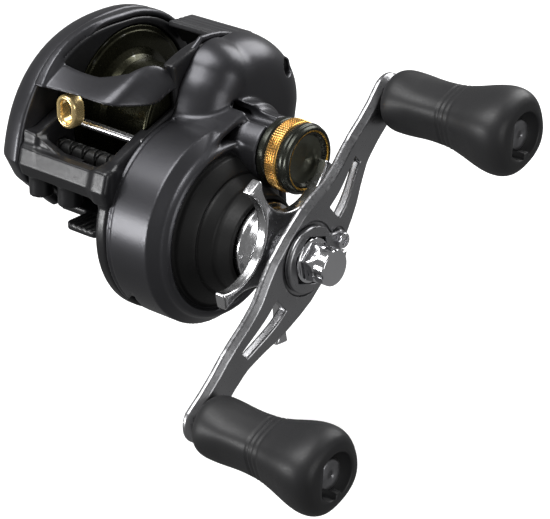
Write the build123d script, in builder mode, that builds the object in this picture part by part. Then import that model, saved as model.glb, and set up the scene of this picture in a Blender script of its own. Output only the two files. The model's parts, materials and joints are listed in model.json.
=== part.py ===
from build123d import *
from math import atan2, cos, pi, radians, sin, sqrt
import os

# Low-profile baitcasting reel with its handle on the +X side. Millimetres.
# Origin: middle of the foot's flat underside. +X runs along the spool to the handle,
# -Y is forward to the line guide, +Z is up, away from the rod.

os.makedirs("parts", exist_ok=True)

# ---------------------------------------------------------------- driving dimensions
foot_length = 62.0
foot_width = 12.5
foot_thickness = 2.3
foot_corner = 2.5

main_y = -10.0                 # handle shaft axis
main_z = 4.5
gear_module = 0.51             # drive gear and pinion
drive_teeth = 80
pinion_teeth = 17
mesh_angle = 57.5              # direction from handle shaft to spool, from +Y towards +Z

spool_gap = 25.0               # between the spool's flanges
flange_radius = 22.5
flange_thickness = 1.4
arbor_radius = 13.5
arbor_wall = 1.3
spool_shaft_radius = 2.0

ring_thickness = 4.0           # each side ring of the frame
ring_web = 1.8                 # web behind the gear-side flange
ring_wall = 4.15               # from flange bore to the outside of the body
hood_wall = 2.2
nose_reach = 41.3              # from spool axis forward to the front beam
nose_height = 19.0             # height of the foremost line
brow_bulge = 3.6               # how far frame and hood swell beyond the palm side's arc

drum_radius = 28.0             # gear housing round the handle shaft
drum_depth = 15.0
cover_wall = 2.3
turret_rise = 30.05            # from the cover's seam to the turret's outer end
knob_boss_radius = 9.2
knob_boss_rise = 26.55         # from the cover's seam to the end of the knob's neck

worm_module = 0.5              # level-wind gears
worm_drive_teeth = 20
idler_teeth = 25
worm_teeth = 16
worm_train_angle = 131.7       # direction from handle shaft to worm shaft
worm_radius = 2.5

rod_y = -22.0
rod_z = 28.6
rod_radius = 1.2

guide_x = -6.3                 # where the line guide stands at rest
guide_width = 10.0
guide_depth = 8.4
guide_front = -28.4
guide_top = 39.0
eye_z = 33.7
eye_width = 7.2
eye_height = 9.8
eye_wall = 1.7

handle_half = 51.0             # handle shaft to knob axis
handle_angle = 41.3            # from +Y towards +Z
handle_gap = 3.6               # from the star's face to the handle's back
handle_thickness = 3.0
arm_drop = 2.6                 # how far the handle's ends bend in towards the reel
nut_flats = 10.0
nut_height = 9.0
knob_length = 42.2
knob_radius = 11.8
knob_neck_radius = 8.0
knob_post_radius = 2.2

star_gap = 7.3                 # from the turret's end to the star's arms
star_thickness = 3.6
star_radius = 26.5
star_first_angle = 48.0
star_arms = 5
scallop_centre = 25.1          # scallops between the arms, from the handle shaft
scallop_radius = 13.6

tension_height = 10.2          # from the end of the neck to the knob's face
tension_radius = 10.1

thumb_travel = 6.0             # degrees about the spool axis

# clearances and fits
flange_clearance = 0.35        # flange in its bore
running = 0.03                 # radial clearance of a shaft in its bearing
free = 0.3                     # gap between pieces that move past each other

# ---------------------------------------------------------------- worked-out positions
mesh_distance = gear_module * (drive_teeth + pinion_teeth) / 2
spool_y = main_y + mesh_distance * cos(radians(mesh_angle))
spool_z = main_z + mesh_distance * sin(radians(mesh_angle))
flange_bore = flange_radius + flange_clearance
body_radius = flange_bore + ring_wall

flange_inner = spool_gap / 2
flange_outer = flange_inner + flange_thickness
ring_inner = flange_inner - 0.1
ring_outer = ring_inner + ring_thickness
bore_floor = ring_outer - ring_web
palm_face = -ring_outer
cover_face = ring_outer + 0.05
turret_top = cover_face + turret_rise
knob_boss_top = cover_face + knob_boss_rise
tension_end = knob_boss_top + tension_height
star_x = turret_top + star_gap
handle_x = star_x + star_thickness + handle_gap
nut_end = handle_x + handle_thickness + nut_height
knob_start = handle_x - arm_drop + handle_thickness + 1.0
knob_end = knob_start + knob_length

idler_offset = worm_module * (worm_drive_teeth + idler_teeth) / 2
worm_offset = idler_offset + worm_module * (idler_teeth + worm_teeth) / 2
idler_y = main_y + idler_offset * cos(radians(worm_train_angle))
idler_z = main_z + idler_offset * sin(radians(worm_train_angle))
worm_y = main_y + worm_offset * cos(radians(worm_train_angle))
worm_z = main_z + worm_offset * sin(radians(worm_train_angle))

crown_z = spool_z + body_radius
nose_y = spool_y - nose_reach
# The brow is one arc, level at the crown and passing through the nose.
brow_drop = crown_z - nose_height
brow_radius = (nose_reach**2 + brow_drop**2) / (2 * brow_drop)
back_reach = body_radius + 2.2
back_y = spool_y + back_reach


# ---------------------------------------------------------------- shared shapes
def spool_point(radius, angle):
    """A point at a radius and an angle in degrees about the spool axis."""
    return (spool_y + radius * cos(radians(angle)), spool_z + radius * sin(radians(angle)))


def turning_plane(axis_y, axis_z):
    """Plane through a shaft axis: local x runs along the shaft, local y is the radius."""
    return Plane(origin=(0, axis_y, axis_z), x_dir=(1, 0, 0), z_dir=(0, -1, 0))


def turned(axis_y, axis_z, points):
    """A lathe-turned piece from its half outline of (x, radius) points."""
    with BuildPart() as piece:
        with BuildSketch(turning_plane(axis_y, axis_z)):
            with BuildLine():
                Polyline(*points, close=True)
            make_face()
        revolve(axis=Axis((0, axis_y, axis_z), (1, 0, 0)))
    return piece


def ring_points(x_start, x_end, bore, outside):
    """Half outline of a plain ring."""
    return [(x_start, bore), (x_end, bore), (x_end, outside), (x_start, outside)]


def gear_points(teeth, module, first_angle, centre_y, centre_z, slim):
    """Closed outline of a spur gear with a tooth centred on first_angle."""
    pitch_radius = teeth * module / 2
    step = 2 * pi / teeth
    flank = [
        (pitch_radius - 1.25 * module, -0.30),
        (pitch_radius, -0.25 + slim),
        (pitch_radius + 0.85 * module, -0.13),
        (pitch_radius + 0.85 * module, 0.13),
        (pitch_radius, 0.25 - slim),
        (pitch_radius - 1.25 * module, 0.30),
    ]
    points = []
    for tooth in range(teeth):
        middle = radians(first_angle) + tooth * step
        for radius, share in flank:
            angle = middle + share * step
            points.append((centre_y + radius * cos(angle), centre_z + radius * sin(angle)))
    return points


heel_z = 7.0
heel_set_in = 6.0
sole_back_y = 12.0             # behind the spool axis
sole_front_y = -24.0
sole_front_z = 1.5
chin_set_in = 3.5
chin_z = 12.0
rear_flatten = 0.6


def body_outline(inset, bulge):
    """Side outline of the body, moved inwards by inset, its brow arc pushed out by bulge."""
    centre = (spool_y, crown_z - brow_radius)
    radius = brow_radius - inset
    nose_angle = atan2(nose_height + inset / 2 - centre[1], nose_y + inset - centre[0])
    front = (centre[0] + radius * cos(nose_angle), centre[1] + radius * sin(nose_angle))
    middle_angle = (nose_angle % (2 * pi) + pi / 2) / 2
    middle_radius = radius + bulge
    middle = (
        centre[0] + middle_radius * cos(middle_angle),
        centre[1] + middle_radius * sin(middle_angle),
    )
    crown = (spool_y, crown_z - inset)
    rear_radius = back_reach - inset
    slant = rear_radius * cos(pi / 4)
    rear_mid = (spool_y + slant, spool_z + slant - rear_flatten)
    rear = (spool_y + rear_radius, spool_z)
    heel = (rear[0] - heel_set_in, heel_z)
    sole_back = (spool_y + sole_back_y, inset)
    sole_front = (sole_front_y, sole_front_z + inset)
    chin = (nose_y + chin_set_in + inset, chin_z)
    ThreePointArc(front, middle, crown)
    ThreePointArc(crown, rear_mid, rear)
    Polyline(rear, heel, sole_back, sole_front, chin, front)


# ---------------------------------------------------------------- main frame
beam_back = 4.2
beam_rounding = 0.9
boss_radius = 3.4
boss_drop = 6.0
boss_places = (-12.6, -1.5)
boss_back = 5.2
floor_depth = 44.0
beam_top = 23.6
beam_bottom = 15.5
strut_top_z = 34.8
strut_y = -9.0
rear_bar_low = 12.0
rear_bar_high = 30.0
pinion_hole_radius = 5.4
shaft_bearing_radius = 5.0
shaft_radius = 3.0
shaft_bearing_width = 2.5
worm_bush_radius = 3.6
worm_bush_width = 2.0
yoke_post_y = 7.2              # either side of the spool axis
yoke_post_rise = 2.0
yoke_post_radius = 0.9
yoke_post_length = 5.6
slot_inner = flange_bore + 0.5
slot_outer = slot_inner + 3.0
slot_low = 37.5
slot_high = 53.0
lug_screw_radius = flange_bore + 2.75
lug_screw_angles = (32.2, -30.0)
front_screw_y = spool_y - 2.1
front_screw_z = spool_z + 9.4
screw_hole_radius = 0.8
idler_post_radius = 1.5
idler_post_length = 2.9

with BuildPart() as main_frame:
    # gear-side ring with the back of the gear housing
    with BuildSketch(Plane.YZ.offset(ring_inner)):
        with BuildLine():
            strut_base = (nose_y + 1.5, beam_top + 0.4)
            strut_mid = (rod_y, rod_z + 1.4)
            strut_end = (strut_y, strut_top_z)
            hood_end = (strut_y - 1.0, crown_z - 5.6)
            crown = (spool_y, crown_z - hood_wall)
            rear_radius = back_reach - hood_wall
            slant = rear_radius * cos(pi / 4)
            rear_mid = (spool_y + slant, spool_z + slant - rear_flatten)
            rear = (spool_y + rear_radius, spool_z)
            shoulder_mid = ((hood_end[0] + crown[0]) / 2, crown[1] - 1.0)
            Polyline(strut_base, strut_mid, strut_end, hood_end)
            ThreePointArc(hood_end, shoulder_mid, crown)
            ThreePointArc(crown, rear_mid, rear)
            Polyline(
                rear,
                (rear[0] - heel_set_in, heel_z),
                (spool_y + sole_back_y, 0),
                (sole_front_y, 0),
                (nose_y + 1.0, beam_bottom),
                (nose_y, nose_height),
                strut_base,
            )
        make_face()
        with Locations((main_y, main_z)):
            Circle(drum_radius)
    extrude(amount=ring_thickness)
    # palm-side ring
    with BuildSketch(Plane.YZ.offset(-ring_outer)):
        with BuildLine():
            body_outline(hood_wall, brow_bulge)
        make_face()
    extrude(amount=ring_thickness)
    # front beam across the nose
    with BuildSketch(Plane.YZ.offset(-ring_outer)):
        with BuildLine():
            Polyline(
                (nose_y + 1.2, beam_bottom),
                (nose_y, nose_height),
                (nose_y + 1.5, beam_top),
                (nose_y + beam_back, beam_top),
                (nose_y + beam_back, beam_bottom),
                close=True,
            )
        make_face()
        fillet(vertices(), beam_rounding)
    extrude(amount=2 * ring_outer)
    # two bosses under the beam
    with BuildSketch(Plane.XY.offset(beam_bottom - boss_drop)):
        for boss_x in boss_places:
            with Locations((boss_x, nose_y + boss_back)):
                Circle(boss_radius)
    extrude(amount=boss_drop + 0.5)
    # rear bar below the thumb bar
    with BuildSketch(Plane.YZ.offset(-ring_outer)):
        with BuildLine():
            Polyline(
                (back_y - 5.6, rear_bar_low),
                (back_y - 2.6, rear_bar_low + 3),
                (back_y - 1.2, rear_bar_high),
                (back_y - 4.6, rear_bar_high),
                (back_y - 4.6, spool_z),
                (back_y - 6.9, rear_bar_low + 1),
                close=True,
            )
        make_face()
    extrude(amount=2 * ring_outer)
    # floor plate joining the rings, and the long foot in one casting with it
    with BuildSketch():
        with Locations((0, 0)):
            Rectangle(2 * ring_outer, floor_depth)
        RectangleRounded(foot_width, foot_length, foot_corner)
    extrude(amount=foot_thickness)
    # bores for the spool
    with BuildSketch(Plane.YZ.offset(-ring_outer)):
        with Locations((spool_y, spool_z)):
            Circle(flange_bore)
    extrude(amount=ring_outer + bore_floor, mode=Mode.SUBTRACT)
    with BuildSketch(Plane.YZ.offset(bore_floor)):
        with Locations((spool_y, spool_z)):
            Circle(pinion_hole_radius)
    extrude(amount=ring_web, mode=Mode.SUBTRACT)
    # slot that the clutch lever passes through
    with BuildSketch(Plane.YZ.offset(ring_inner)):
        with BuildLine():
            low = radians(slot_low)
            high = radians(slot_high)
            half = (low + high) / 2
            corner = [
                (spool_y + slot_inner * cos(low), spool_z + slot_inner * sin(low)),
                (spool_y + slot_inner * cos(half), spool_z + slot_inner * sin(half)),
                (spool_y + slot_inner * cos(high), spool_z + slot_inner * sin(high)),
                (spool_y + slot_outer * cos(high), spool_z + slot_outer * sin(high)),
                (spool_y + slot_outer * cos(half), spool_z + slot_outer * sin(half)),
                (spool_y + slot_outer * cos(low), spool_z + slot_outer * sin(low)),
            ]
            ThreePointArc(corner[0], corner[1], corner[2])
            Line(corner[2], corner[3])
            ThreePointArc(corner[3], corner[4], corner[5])
            Line(corner[5], corner[0])
        make_face()
    extrude(amount=ring_thickness, mode=Mode.SUBTRACT)
    # seats for the handle shaft bearing, worm bushings, guide rod and screws
    with BuildSketch(Plane.YZ.offset(ring_outer - shaft_bearing_width)):
        with Locations((main_y, main_z)):
            Circle(shaft_bearing_radius)
    extrude(amount=shaft_bearing_width, mode=Mode.SUBTRACT)
    with BuildSketch(Plane.YZ.offset(-ring_outer)):
        with Locations((worm_y, worm_z)):
            Circle(worm_bush_radius)
    extrude(amount=worm_bush_width, mode=Mode.SUBTRACT)
    with BuildSketch(Plane.YZ.offset(ring_outer - worm_bush_width)):
        with Locations((worm_y, worm_z)):
            Circle(worm_bush_radius)
    extrude(amount=worm_bush_width, mode=Mode.SUBTRACT)
    with BuildSketch(Plane.YZ.offset(-ring_outer)):
        with Locations((worm_y, worm_z)):
            Circle(worm_radius + free)
        with Locations((rod_y, rod_z)):
            Circle(rod_radius)
    extrude(amount=2 * ring_outer, mode=Mode.SUBTRACT)
    with BuildSketch(Plane.YZ.offset(ring_inner)):
        for angle in lug_screw_angles:
            with Locations(spool_point(lug_screw_radius, angle)):
                Circle(screw_hole_radius)
    extrude(amount=ring_thickness, mode=Mode.SUBTRACT)
    with BuildSketch(Plane.YZ.offset(bore_floor)):
        with Locations((front_screw_y, front_screw_z)):
            Circle(screw_hole_radius)
    extrude(amount=ring_web, mode=Mode.SUBTRACT)
    # posts for the idler gear and for the clutch yoke
    with BuildSketch(Plane.YZ.offset(ring_outer)):
        with Locations((idler_y, idler_z)):
            Circle(idler_post_radius)
    extrude(amount=idler_post_length)
    with BuildSketch(Plane.YZ.offset(ring_outer)):
        with Locations((spool_y, spool_z + yoke_post_rise)):
            with GridLocations(2 * yoke_post_y, 0, 2, 1):
                Circle(yoke_post_radius)
    extrude(amount=yoke_post_length)
main_frame.part.label = "main_frame"
export_step(main_frame.part, "parts/main_frame.step")


# ---------------------------------------------------------------- hood over the nose and rings
lip_z = 39.6
hood_back_z = 34.0
opening_front = -22.0
opening_right = bore_floor
opening_corner = 0.65 * ring_inner

with BuildPart() as hood:
    with BuildSketch(Plane.YZ.offset(-ring_outer)):
        with BuildLine():
            body_outline(0, brow_bulge)
        make_face()
        with BuildLine(mode=Mode.PRIVATE) as inner_line:
            body_outline(hood_wall, brow_bulge)
        make_face(inner_line.line, mode=Mode.SUBTRACT)
        # keep only what lies above the lip
        with BuildLine(mode=Mode.PRIVATE) as above_lip:
            Polyline(
                (nose_y - 5, lip_z + 2.0),
                (spool_y, lip_z - 4.5),
                (back_y + 5, hood_back_z),
                (back_y + 5, crown_z + 5),
                (nose_y - 5, crown_z + 5),
                close=True,
            )
        make_face(above_lip.line, mode=Mode.INTERSECT)
    extrude(amount=2 * ring_outer)
    # opening for the thumb over the spool
    with BuildSketch(Plane.XY.offset(hood_back_z - 1)):
        with BuildLine():
            Polyline(
                (-ring_inner, opening_front),
                (0, opening_front),
                (opening_corner, opening_front + 3.0),
                (opening_right, opening_front + 13.0),
                (opening_right, back_y + 2),
                (-ring_inner, back_y + 2),
                close=True,
            )
        make_face()
    extrude(amount=crown_z, mode=Mode.SUBTRACT)
    # the gear side ends above the strut
    with BuildSketch(Plane.YZ.offset(ring_inner)):
        with BuildLine():
            Polyline(
                (nose_y - 5, lip_z - 1),
                (strut_y - 4.0, lip_z - 1),
                (strut_y - 14.0, lip_z + 4),
                (nose_y - 5, lip_z + 4),
                close=True,
            )
        make_face()
    extrude(amount=ring_thickness, mode=Mode.SUBTRACT)
hood.part.label = "hood"
export_step(hood.part, "parts/hood.step")


# ---------------------------------------------------------------- palm side plate
palm_depth = 10.6
palm_straight = 4.0
palm_taper = 38.0
bearing_radius = 4.0
bearing_width = 3.0
race_inner = 11.2
race_outer = 13.0
race_depth = 3.6
palm_cavity_floor = palm_face - 3.6
dial_radius = 9.0
dial_thickness = 2.4
dial_bore = 2.0
dial_notches = 12
dial_notch_radius = 0.7
lock_y = -21.0
lock_z = 19.0
lock_radius = 4.2
lock_post_radius = 1.5
lock_sunk = 0.6
lock_thickness = 3.0
seam = 0.05
palm_end = palm_face - seam - palm_depth
bearing_palm_x = palm_cavity_floor - 1.6

with BuildPart() as palm_side_plate:
    with BuildSketch(Plane.YZ.offset(palm_face - seam)):
        with BuildLine():
            body_outline(0, brow_bulge / 2)
        make_face()
    extrude(amount=-palm_straight)
    outer_face = palm_side_plate.faces().sort_by(Axis.X)[0]
    extrude(outer_face, amount=palm_depth - palm_straight, taper=palm_taper)
    # hollow for the brake, leaving a boss for the spool bearing
    with BuildSketch(Plane.YZ.offset(palm_cavity_floor)):
        with Locations((spool_y, spool_z)):
            Circle(flange_radius - 2)
            Circle(bearing_radius + 2, mode=Mode.SUBTRACT)
    extrude(amount=palm_face - palm_cavity_floor, mode=Mode.SUBTRACT)
    with BuildSketch(Plane.YZ.offset(bearing_palm_x)):
        with Locations((spool_y, spool_z)):
            Circle(bearing_radius)
    extrude(amount=palm_face - bearing_palm_x, mode=Mode.SUBTRACT)
    # trim the boss to the bearing's face
    with BuildSketch(Plane.YZ.offset(bearing_palm_x + bearing_width)):
        with Locations((spool_y, spool_z)):
            Circle(bearing_radius + 2)
    extrude(amount=palm_face - bearing_palm_x - bearing_width, mode=Mode.SUBTRACT)
    # seat and bore of the brake dial
    with BuildSketch(Plane.YZ.offset(palm_end)):
        with Locations((spool_y, spool_z)):
            Circle(dial_radius + free)
    extrude(amount=dial_thickness, mode=Mode.SUBTRACT)
    with BuildSketch(Plane.YZ.offset(palm_end)):
        with Locations((spool_y, spool_z)):
            Circle(dial_bore)
    extrude(amount=dial_thickness + 2, mode=Mode.SUBTRACT)
    # seat and bore of the side plate lock
    with BuildSketch(Plane.YZ.offset(palm_end - 1)):
        with Locations((lock_y, lock_z)):
            Circle(lock_radius + free)
    extrude(amount=5.0, mode=Mode.SUBTRACT)
    with BuildSketch(Plane.YZ.offset(palm_end)):
        with Locations((lock_y, lock_z)):
            Circle(lock_post_radius + running)
    extrude(amount=palm_depth + 1, mode=Mode.SUBTRACT)
palm_side_plate.part.label = "palm_side_plate"
export_step(palm_side_plate.part, "parts/palm_side_plate.step")

with BuildPart() as side_plate_lock:
    with BuildSketch(Plane.YZ.offset(palm_end + lock_sunk)):
        with Locations((lock_y, lock_z)):
            Circle(lock_radius)
    extrude(amount=lock_thickness)
    with BuildSketch(Plane.YZ.offset(palm_end + lock_sunk)):
        with Locations((lock_y, lock_z)):
            Rectangle(1.2, 2 * lock_radius + 1)
    extrude(amount=1.0, mode=Mode.SUBTRACT)
    with BuildSketch(Plane.YZ.offset(palm_end + lock_sunk + lock_thickness)):
        with Locations((lock_y, lock_z)):
            Circle(lock_post_radius)
    extrude(amount=palm_face - 2 * seam - palm_end - lock_sunk - lock_thickness)
side_plate_lock.part.label = "side_plate_lock"
export_step(side_plate_lock.part, "parts/side_plate_lock.step")

with BuildPart() as brake_dial:
    with BuildSketch(Plane.YZ.offset(palm_end)):
        with Locations((spool_y, spool_z)):
            Circle(dial_radius)
            with PolarLocations(dial_radius, dial_notches):
                Circle(dial_notch_radius, mode=Mode.SUBTRACT)
    extrude(amount=dial_thickness - 0.1)
    with BuildSketch(Plane.YZ.offset(palm_end + dial_thickness - 0.1)):
        with Locations((spool_y, spool_z)):
            Circle(dial_bore - running)
    extrude(amount=2.0)
brake_dial.part.label = "brake_dial"
export_step(brake_dial.part, "parts/brake_dial.step")

brake_race = turned(
    spool_y, spool_z,
    ring_points(palm_cavity_floor, palm_cavity_floor + race_depth, race_inner, race_outer),
)
brake_race.part.label = "brake_race"
export_step(brake_race.part, "parts/brake_race.step")

spool_bearing_palm = turned(
    spool_y, spool_z,
    ring_points(
        bearing_palm_x, bearing_palm_x + bearing_width,
        spool_shaft_radius + running, bearing_radius,
    ),
)
spool_bearing_palm.part.label = "spool_bearing_palm"
export_step(spool_bearing_palm.part, "parts/spool_bearing_palm.step")


# ---------------------------------------------------------------- gear side cover
cover_reach = back_reach + 1.4
cavity_radius = drum_radius - cover_wall - 0.2
cavity_top = cover_face + 12.75
clutch_bearing_radius = 8.0
core_radius = 10.2
hub_bore = 12.0
hub_seat = turret_top - 5.9
pinion_bearing_radius = 6.0
pinion_bearing_x = cover_face + 16.75
pinion_bearing_width = 3.0
spool_bearing_x = knob_boss_top - 3.0
stub_radius = 7.4
stub_top = knob_boss_top + 5.0
lug_radius = 2.7
lug_face = cover_face + 7.05
screw_shank = 1.1
screw_head_radius = 2.1
screw_head = 1.8
upper_cavity_top = cover_face + 9.55
groove_radius = 22.5

drum_end = cover_face + drum_depth
cover_steps = ((0, 0), (5.5, 0.9), (10.0, 3.4), (12.5, 7.0))   # (distance from seam, inset)


def drawn_in(y, z, inset):
    """A point moved towards the spool axis by inset."""
    reach = sqrt((y - spool_y) ** 2 + (z - spool_z) ** 2)
    share = (reach - inset) / reach
    return (spool_y + (y - spool_y) * share, spool_z + (z - spool_z) * share)


def cover_outline(inset):
    """Side outline of the cover's upper body, drawn in towards the spool axis by inset."""
    seam_low = drawn_in(strut_y - 3.2, 26.5, inset)
    seam_mid = drawn_in(strut_y - 1.0, strut_top_z + 1, inset)
    seam_top = drawn_in(spool_y - 10.5, crown_z - 6.4, inset)
    brow = drawn_in(spool_y - 4.0, crown_z - 3.2, inset)
    crown = drawn_in(spool_y + 6.0, crown_z - 2.2, inset)
    shoulder = drawn_in(spool_y + cover_reach * cos(0.8), spool_z + (cover_reach - 1) * sin(0.8), inset)
    rear = drawn_in(spool_y + cover_reach, spool_z + 2, inset)
    haunch = drawn_in(spool_y + cover_reach - 2.0, spool_z - 8, inset)
    heel = drawn_in(spool_y + cover_reach - 9.0, main_z, inset)
    Polyline(seam_low, seam_mid, seam_top)
    ThreePointArc(seam_top, brow, crown)
    ThreePointArc(crown, shoulder, rear)
    Polyline(rear, haunch, heel, (main_y + 16.0, main_z - 10), (main_y, main_z), seam_low)


with BuildPart() as gear_side_cover:
    # housing and turret round the handle shaft
    with BuildSketch(turning_plane(main_y, main_z)):
        with BuildLine():
            Polyline(
                (cover_face, 0),
                (cover_face, drum_radius),
                (drum_end, drum_radius),
                (drum_end + 2.6, drum_radius - 2.7),
                (drum_end + 3.8, drum_radius - 3.3),
                (drum_end + 4.6, drum_radius - 4.6),
                (drum_end + 3.9, groove_radius),
                (drum_end + 5.0, groove_radius - 1.2),
                (drum_end + 6.8, groove_radius - 4.1),
                (drum_end + 7.4, groove_radius - 4.6),
                (turret_top - 3.9, hub_bore + 2.8),
                (turret_top - 3.2, hub_bore + 2.4),
                (turret_top, hub_bore + 0.9),
                (turret_top, 0),
                close=True,
            )
        make_face()
    revolve(axis=Axis((0, main_y, main_z), (1, 0, 0)))
    # body beside the spool, drawn in towards its outer end
    for start, end in zip(cover_steps[:-1], cover_steps[1:]):
        with BuildSketch(Plane.YZ.offset(cover_face + start[0])):
            with BuildLine():
                cover_outline(start[1])
            make_face()
        with BuildSketch(Plane.YZ.offset(cover_face + end[0])):
            with BuildLine():
                cover_outline(end[1])
            make_face()
        loft()
    # neck carrying the cast-control knob
    with BuildSketch(Plane.YZ.offset(cover_face)):
        with Locations((spool_y, spool_z)):
            Circle(knob_boss_radius + 3.2)
    extrude(amount=knob_boss_top - 4 - cover_face, taper=7)
    with BuildSketch(Plane.YZ.offset(cover_face)):
        with Locations((spool_y, spool_z)):
            Circle(knob_boss_radius)
    extrude(amount=knob_boss_top - 1.2 - cover_face)
    with BuildSketch(Plane.YZ.offset(knob_boss_top - 1.2)):
        with Locations((spool_y, spool_z)):
            Circle(stub_radius)
    extrude(amount=stub_top - knob_boss_top + 1.2)
    # the hollow round the gears
    with BuildSketch(turning_plane(main_y, main_z)):
        with BuildLine():
            Polyline(
                (cover_face, 0),
                (cover_face, cavity_radius),
                (cavity_top, cavity_radius),
                (cavity_top + 3.4, cavity_radius - 2.6),
                (cavity_top + 3.4, cavity_radius - 5.6),
                (cavity_top + 7.0, core_radius + 4.0),
                (cavity_top + 7.0, core_radius),
                (cavity_top, core_radius),
                (cavity_top, clutch_bearing_radius),
                (hub_seat, clutch_bearing_radius),
                (hub_seat, hub_bore),
                (turret_top, hub_bore),
                (turret_top, 0),
                close=True,
            )
        make_face()
    revolve(axis=Axis((0, main_y, main_z), (1, 0, 0)), mode=Mode.SUBTRACT)
    # the hollow behind the upper body
    with BuildSketch(Plane.YZ.offset(cover_face)):
        with BuildLine():
            cover_outline(cover_wall)
        make_face()
    with BuildSketch(Plane.YZ.offset(upper_cavity_top)):
        with BuildLine():
            cover_outline(cover_wall + 3.5)
        make_face()
    loft(mode=Mode.SUBTRACT)
    with BuildSketch(Plane.YZ.offset(cover_face)):
        with Locations((idler_y, idler_z)):
            Circle(idler_teeth * worm_module / 2 + 1.4)
        with Locations((worm_y, worm_z)):
            Circle(worm_teeth * worm_module / 2 + 1.2)
    extrude(amount=3.4, mode=Mode.SUBTRACT)
    # screw lugs
    with BuildSketch(Plane.YZ.offset(cover_face)):
        for angle in lug_screw_angles:
            with Locations(spool_point(lug_screw_radius, angle)):
                Circle(lug_radius)
        with Locations((front_screw_y, front_screw_z)):
            Circle(lug_radius)
    extrude(amount=upper_cavity_top - cover_face)
    # pinion, its bearing, and the spool shaft's bearing
    with BuildSketch(Plane.YZ.offset(cover_face)):
        with Locations((spool_y, spool_z)):
            Circle(pinion_hole_radius)
    extrude(amount=pinion_bearing_x - cover_face, mode=Mode.SUBTRACT)
    with BuildSketch(Plane.YZ.offset(pinion_bearing_x)):
        with Locations((spool_y, spool_z)):
            Circle(pinion_bearing_radius)
    extrude(amount=pinion_bearing_width, mode=Mode.SUBTRACT)
    with BuildSketch(Plane.YZ.offset(pinion_bearing_x)):
        with Locations((spool_y, spool_z)):
            Circle(bearing_radius)
    extrude(amount=stub_top - pinion_bearing_x, mode=Mode.SUBTRACT)
    # screw holes sunk from outside
    with BuildSketch(Plane.YZ.offset(cover_face)):
        for angle in lug_screw_angles:
            with Locations(spool_point(lug_screw_radius, angle)):
                Circle(screw_shank)
        with Locations((front_screw_y, front_screw_z)):
            Circle(screw_shank)
    extrude(amount=drum_depth, mode=Mode.SUBTRACT)
    with BuildSketch(Plane.YZ.offset(lug_face)):
        for angle in lug_screw_angles:
            with Locations(spool_point(lug_screw_radius, angle)):
                Circle(screw_head_radius + 0.1)
        with Locations((front_screw_y, front_screw_z)):
            Circle(screw_head_radius + 0.1)
    extrude(amount=drum_depth, mode=Mode.SUBTRACT)
gear_side_cover.part.label = "gear_side_cover"
export_step(gear_side_cover.part, "parts/gear_side_cover.step")


# ---------------------------------------------------------------- spool group
spool_shaft_start = bearing_palm_x + 0.1
spool_shaft_end = stub_top - 1.2
spool_hub_radius = 4.2
web_x = -flange_inner + 3.5
hub_end = 4.0
web_thickness = 1.6
pin_x = ring_outer + 1.0
pin_radius = 0.6
pin_length = 7.0
brake_hub_start = palm_face - 1.0
brake_hub_radius = 5.5
weight_count = 6
weight_reach = 10.4

spool = turned(
    spool_y, spool_z,
    [
        (-flange_outer, arbor_radius - arbor_wall),
        (-flange_outer, flange_radius - 1.2),
        (-flange_outer + 0.5, flange_radius),
        (-flange_inner, flange_radius),
        (-flange_inner, flange_radius - 1.0),
        (-flange_inner + 0.8, arbor_radius + 2),
        (-flange_inner + 3.2, arbor_radius),
        (flange_inner - 3.2, arbor_radius),
        (flange_inner - 0.8, arbor_radius + 2),
        (flange_inner, flange_radius - 1.0),
        (flange_inner, flange_radius),
        (flange_outer - 0.5, flange_radius),
        (flange_outer, flange_radius - 1.2),
        (flange_outer, arbor_radius - arbor_wall),
        (web_x + web_thickness, arbor_radius - arbor_wall),
        (web_x + web_thickness, spool_hub_radius),
        (hub_end, spool_hub_radius),
        (hub_end, spool_shaft_radius),
        (-flange_outer, spool_shaft_radius),
        (-flange_outer, spool_hub_radius),
        (web_x, spool_hub_radius),
        (web_x, arbor_radius - arbor_wall),
    ],
)
spool.part.label = "spool"
export_step(spool.part, "parts/spool.step")

with BuildPart() as spool_shaft:
    with BuildSketch(Plane.YZ.offset(spool_shaft_start)):
        with Locations((spool_y, spool_z)):
            Circle(spool_shaft_radius)
    extrude(amount=spool_shaft_end - spool_shaft_start)
    with BuildSketch(Plane.XZ.offset(-spool_y)):
        with Locations((pin_x, spool_z)):
            Circle(pin_radius)
    extrude(amount=spool_shaft_radius, both=True, mode=Mode.SUBTRACT)
spool_shaft.part.label = "spool_shaft"
export_step(spool_shaft.part, "parts/spool_shaft.step")

with BuildPart() as spool_pin:
    with BuildSketch(Plane.XZ.offset(-spool_y)):
        with Locations((pin_x, spool_z)):
            Circle(pin_radius)
    extrude(amount=pin_length / 2, both=True)
spool_pin.part.label = "spool_pin"
export_step(spool_pin.part, "parts/spool_pin.step")

brake_hub = turned(
    spool_y, spool_z,
    ring_points(brake_hub_start, -flange_outer, spool_shaft_radius, brake_hub_radius),
)
brake_hub.part.label = "brake_hub"
export_step(brake_hub.part, "parts/brake_hub.step")

with BuildPart() as brake_weights:
    for number in range(weight_count):
        angle = 360 / weight_count * number
        with BuildSketch(Plane.YZ.offset(brake_hub_start + 0.3)):
            with Locations((spool_y, spool_z)):
                with PolarLocations((brake_hub_radius + weight_reach) / 2 + 0.15, 1, start_angle=angle):
                    Rectangle(weight_reach - brake_hub_radius - 0.3, 3.0)
        extrude(amount=2.2)
brake_weights.part.label = "brake_weights"
export_step(brake_weights.part, "parts/brake_weights.step")

spool_bearing_gear = turned(
    spool_y, spool_z,
    ring_points(
        spool_bearing_x, spool_bearing_x + bearing_width,
        spool_shaft_radius + running, bearing_radius,
    ),
)
spool_bearing_gear.part.label = "spool_bearing_gear"
export_step(spool_bearing_gear.part, "parts/spool_bearing_gear.step")


# ---------------------------------------------------------------- cast-control knob
knob_skirt = knob_boss_top - 0.9
knob_floor = stub_top + 0.6
dish_radius = 7.6
dish_depth = 1.6

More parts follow.
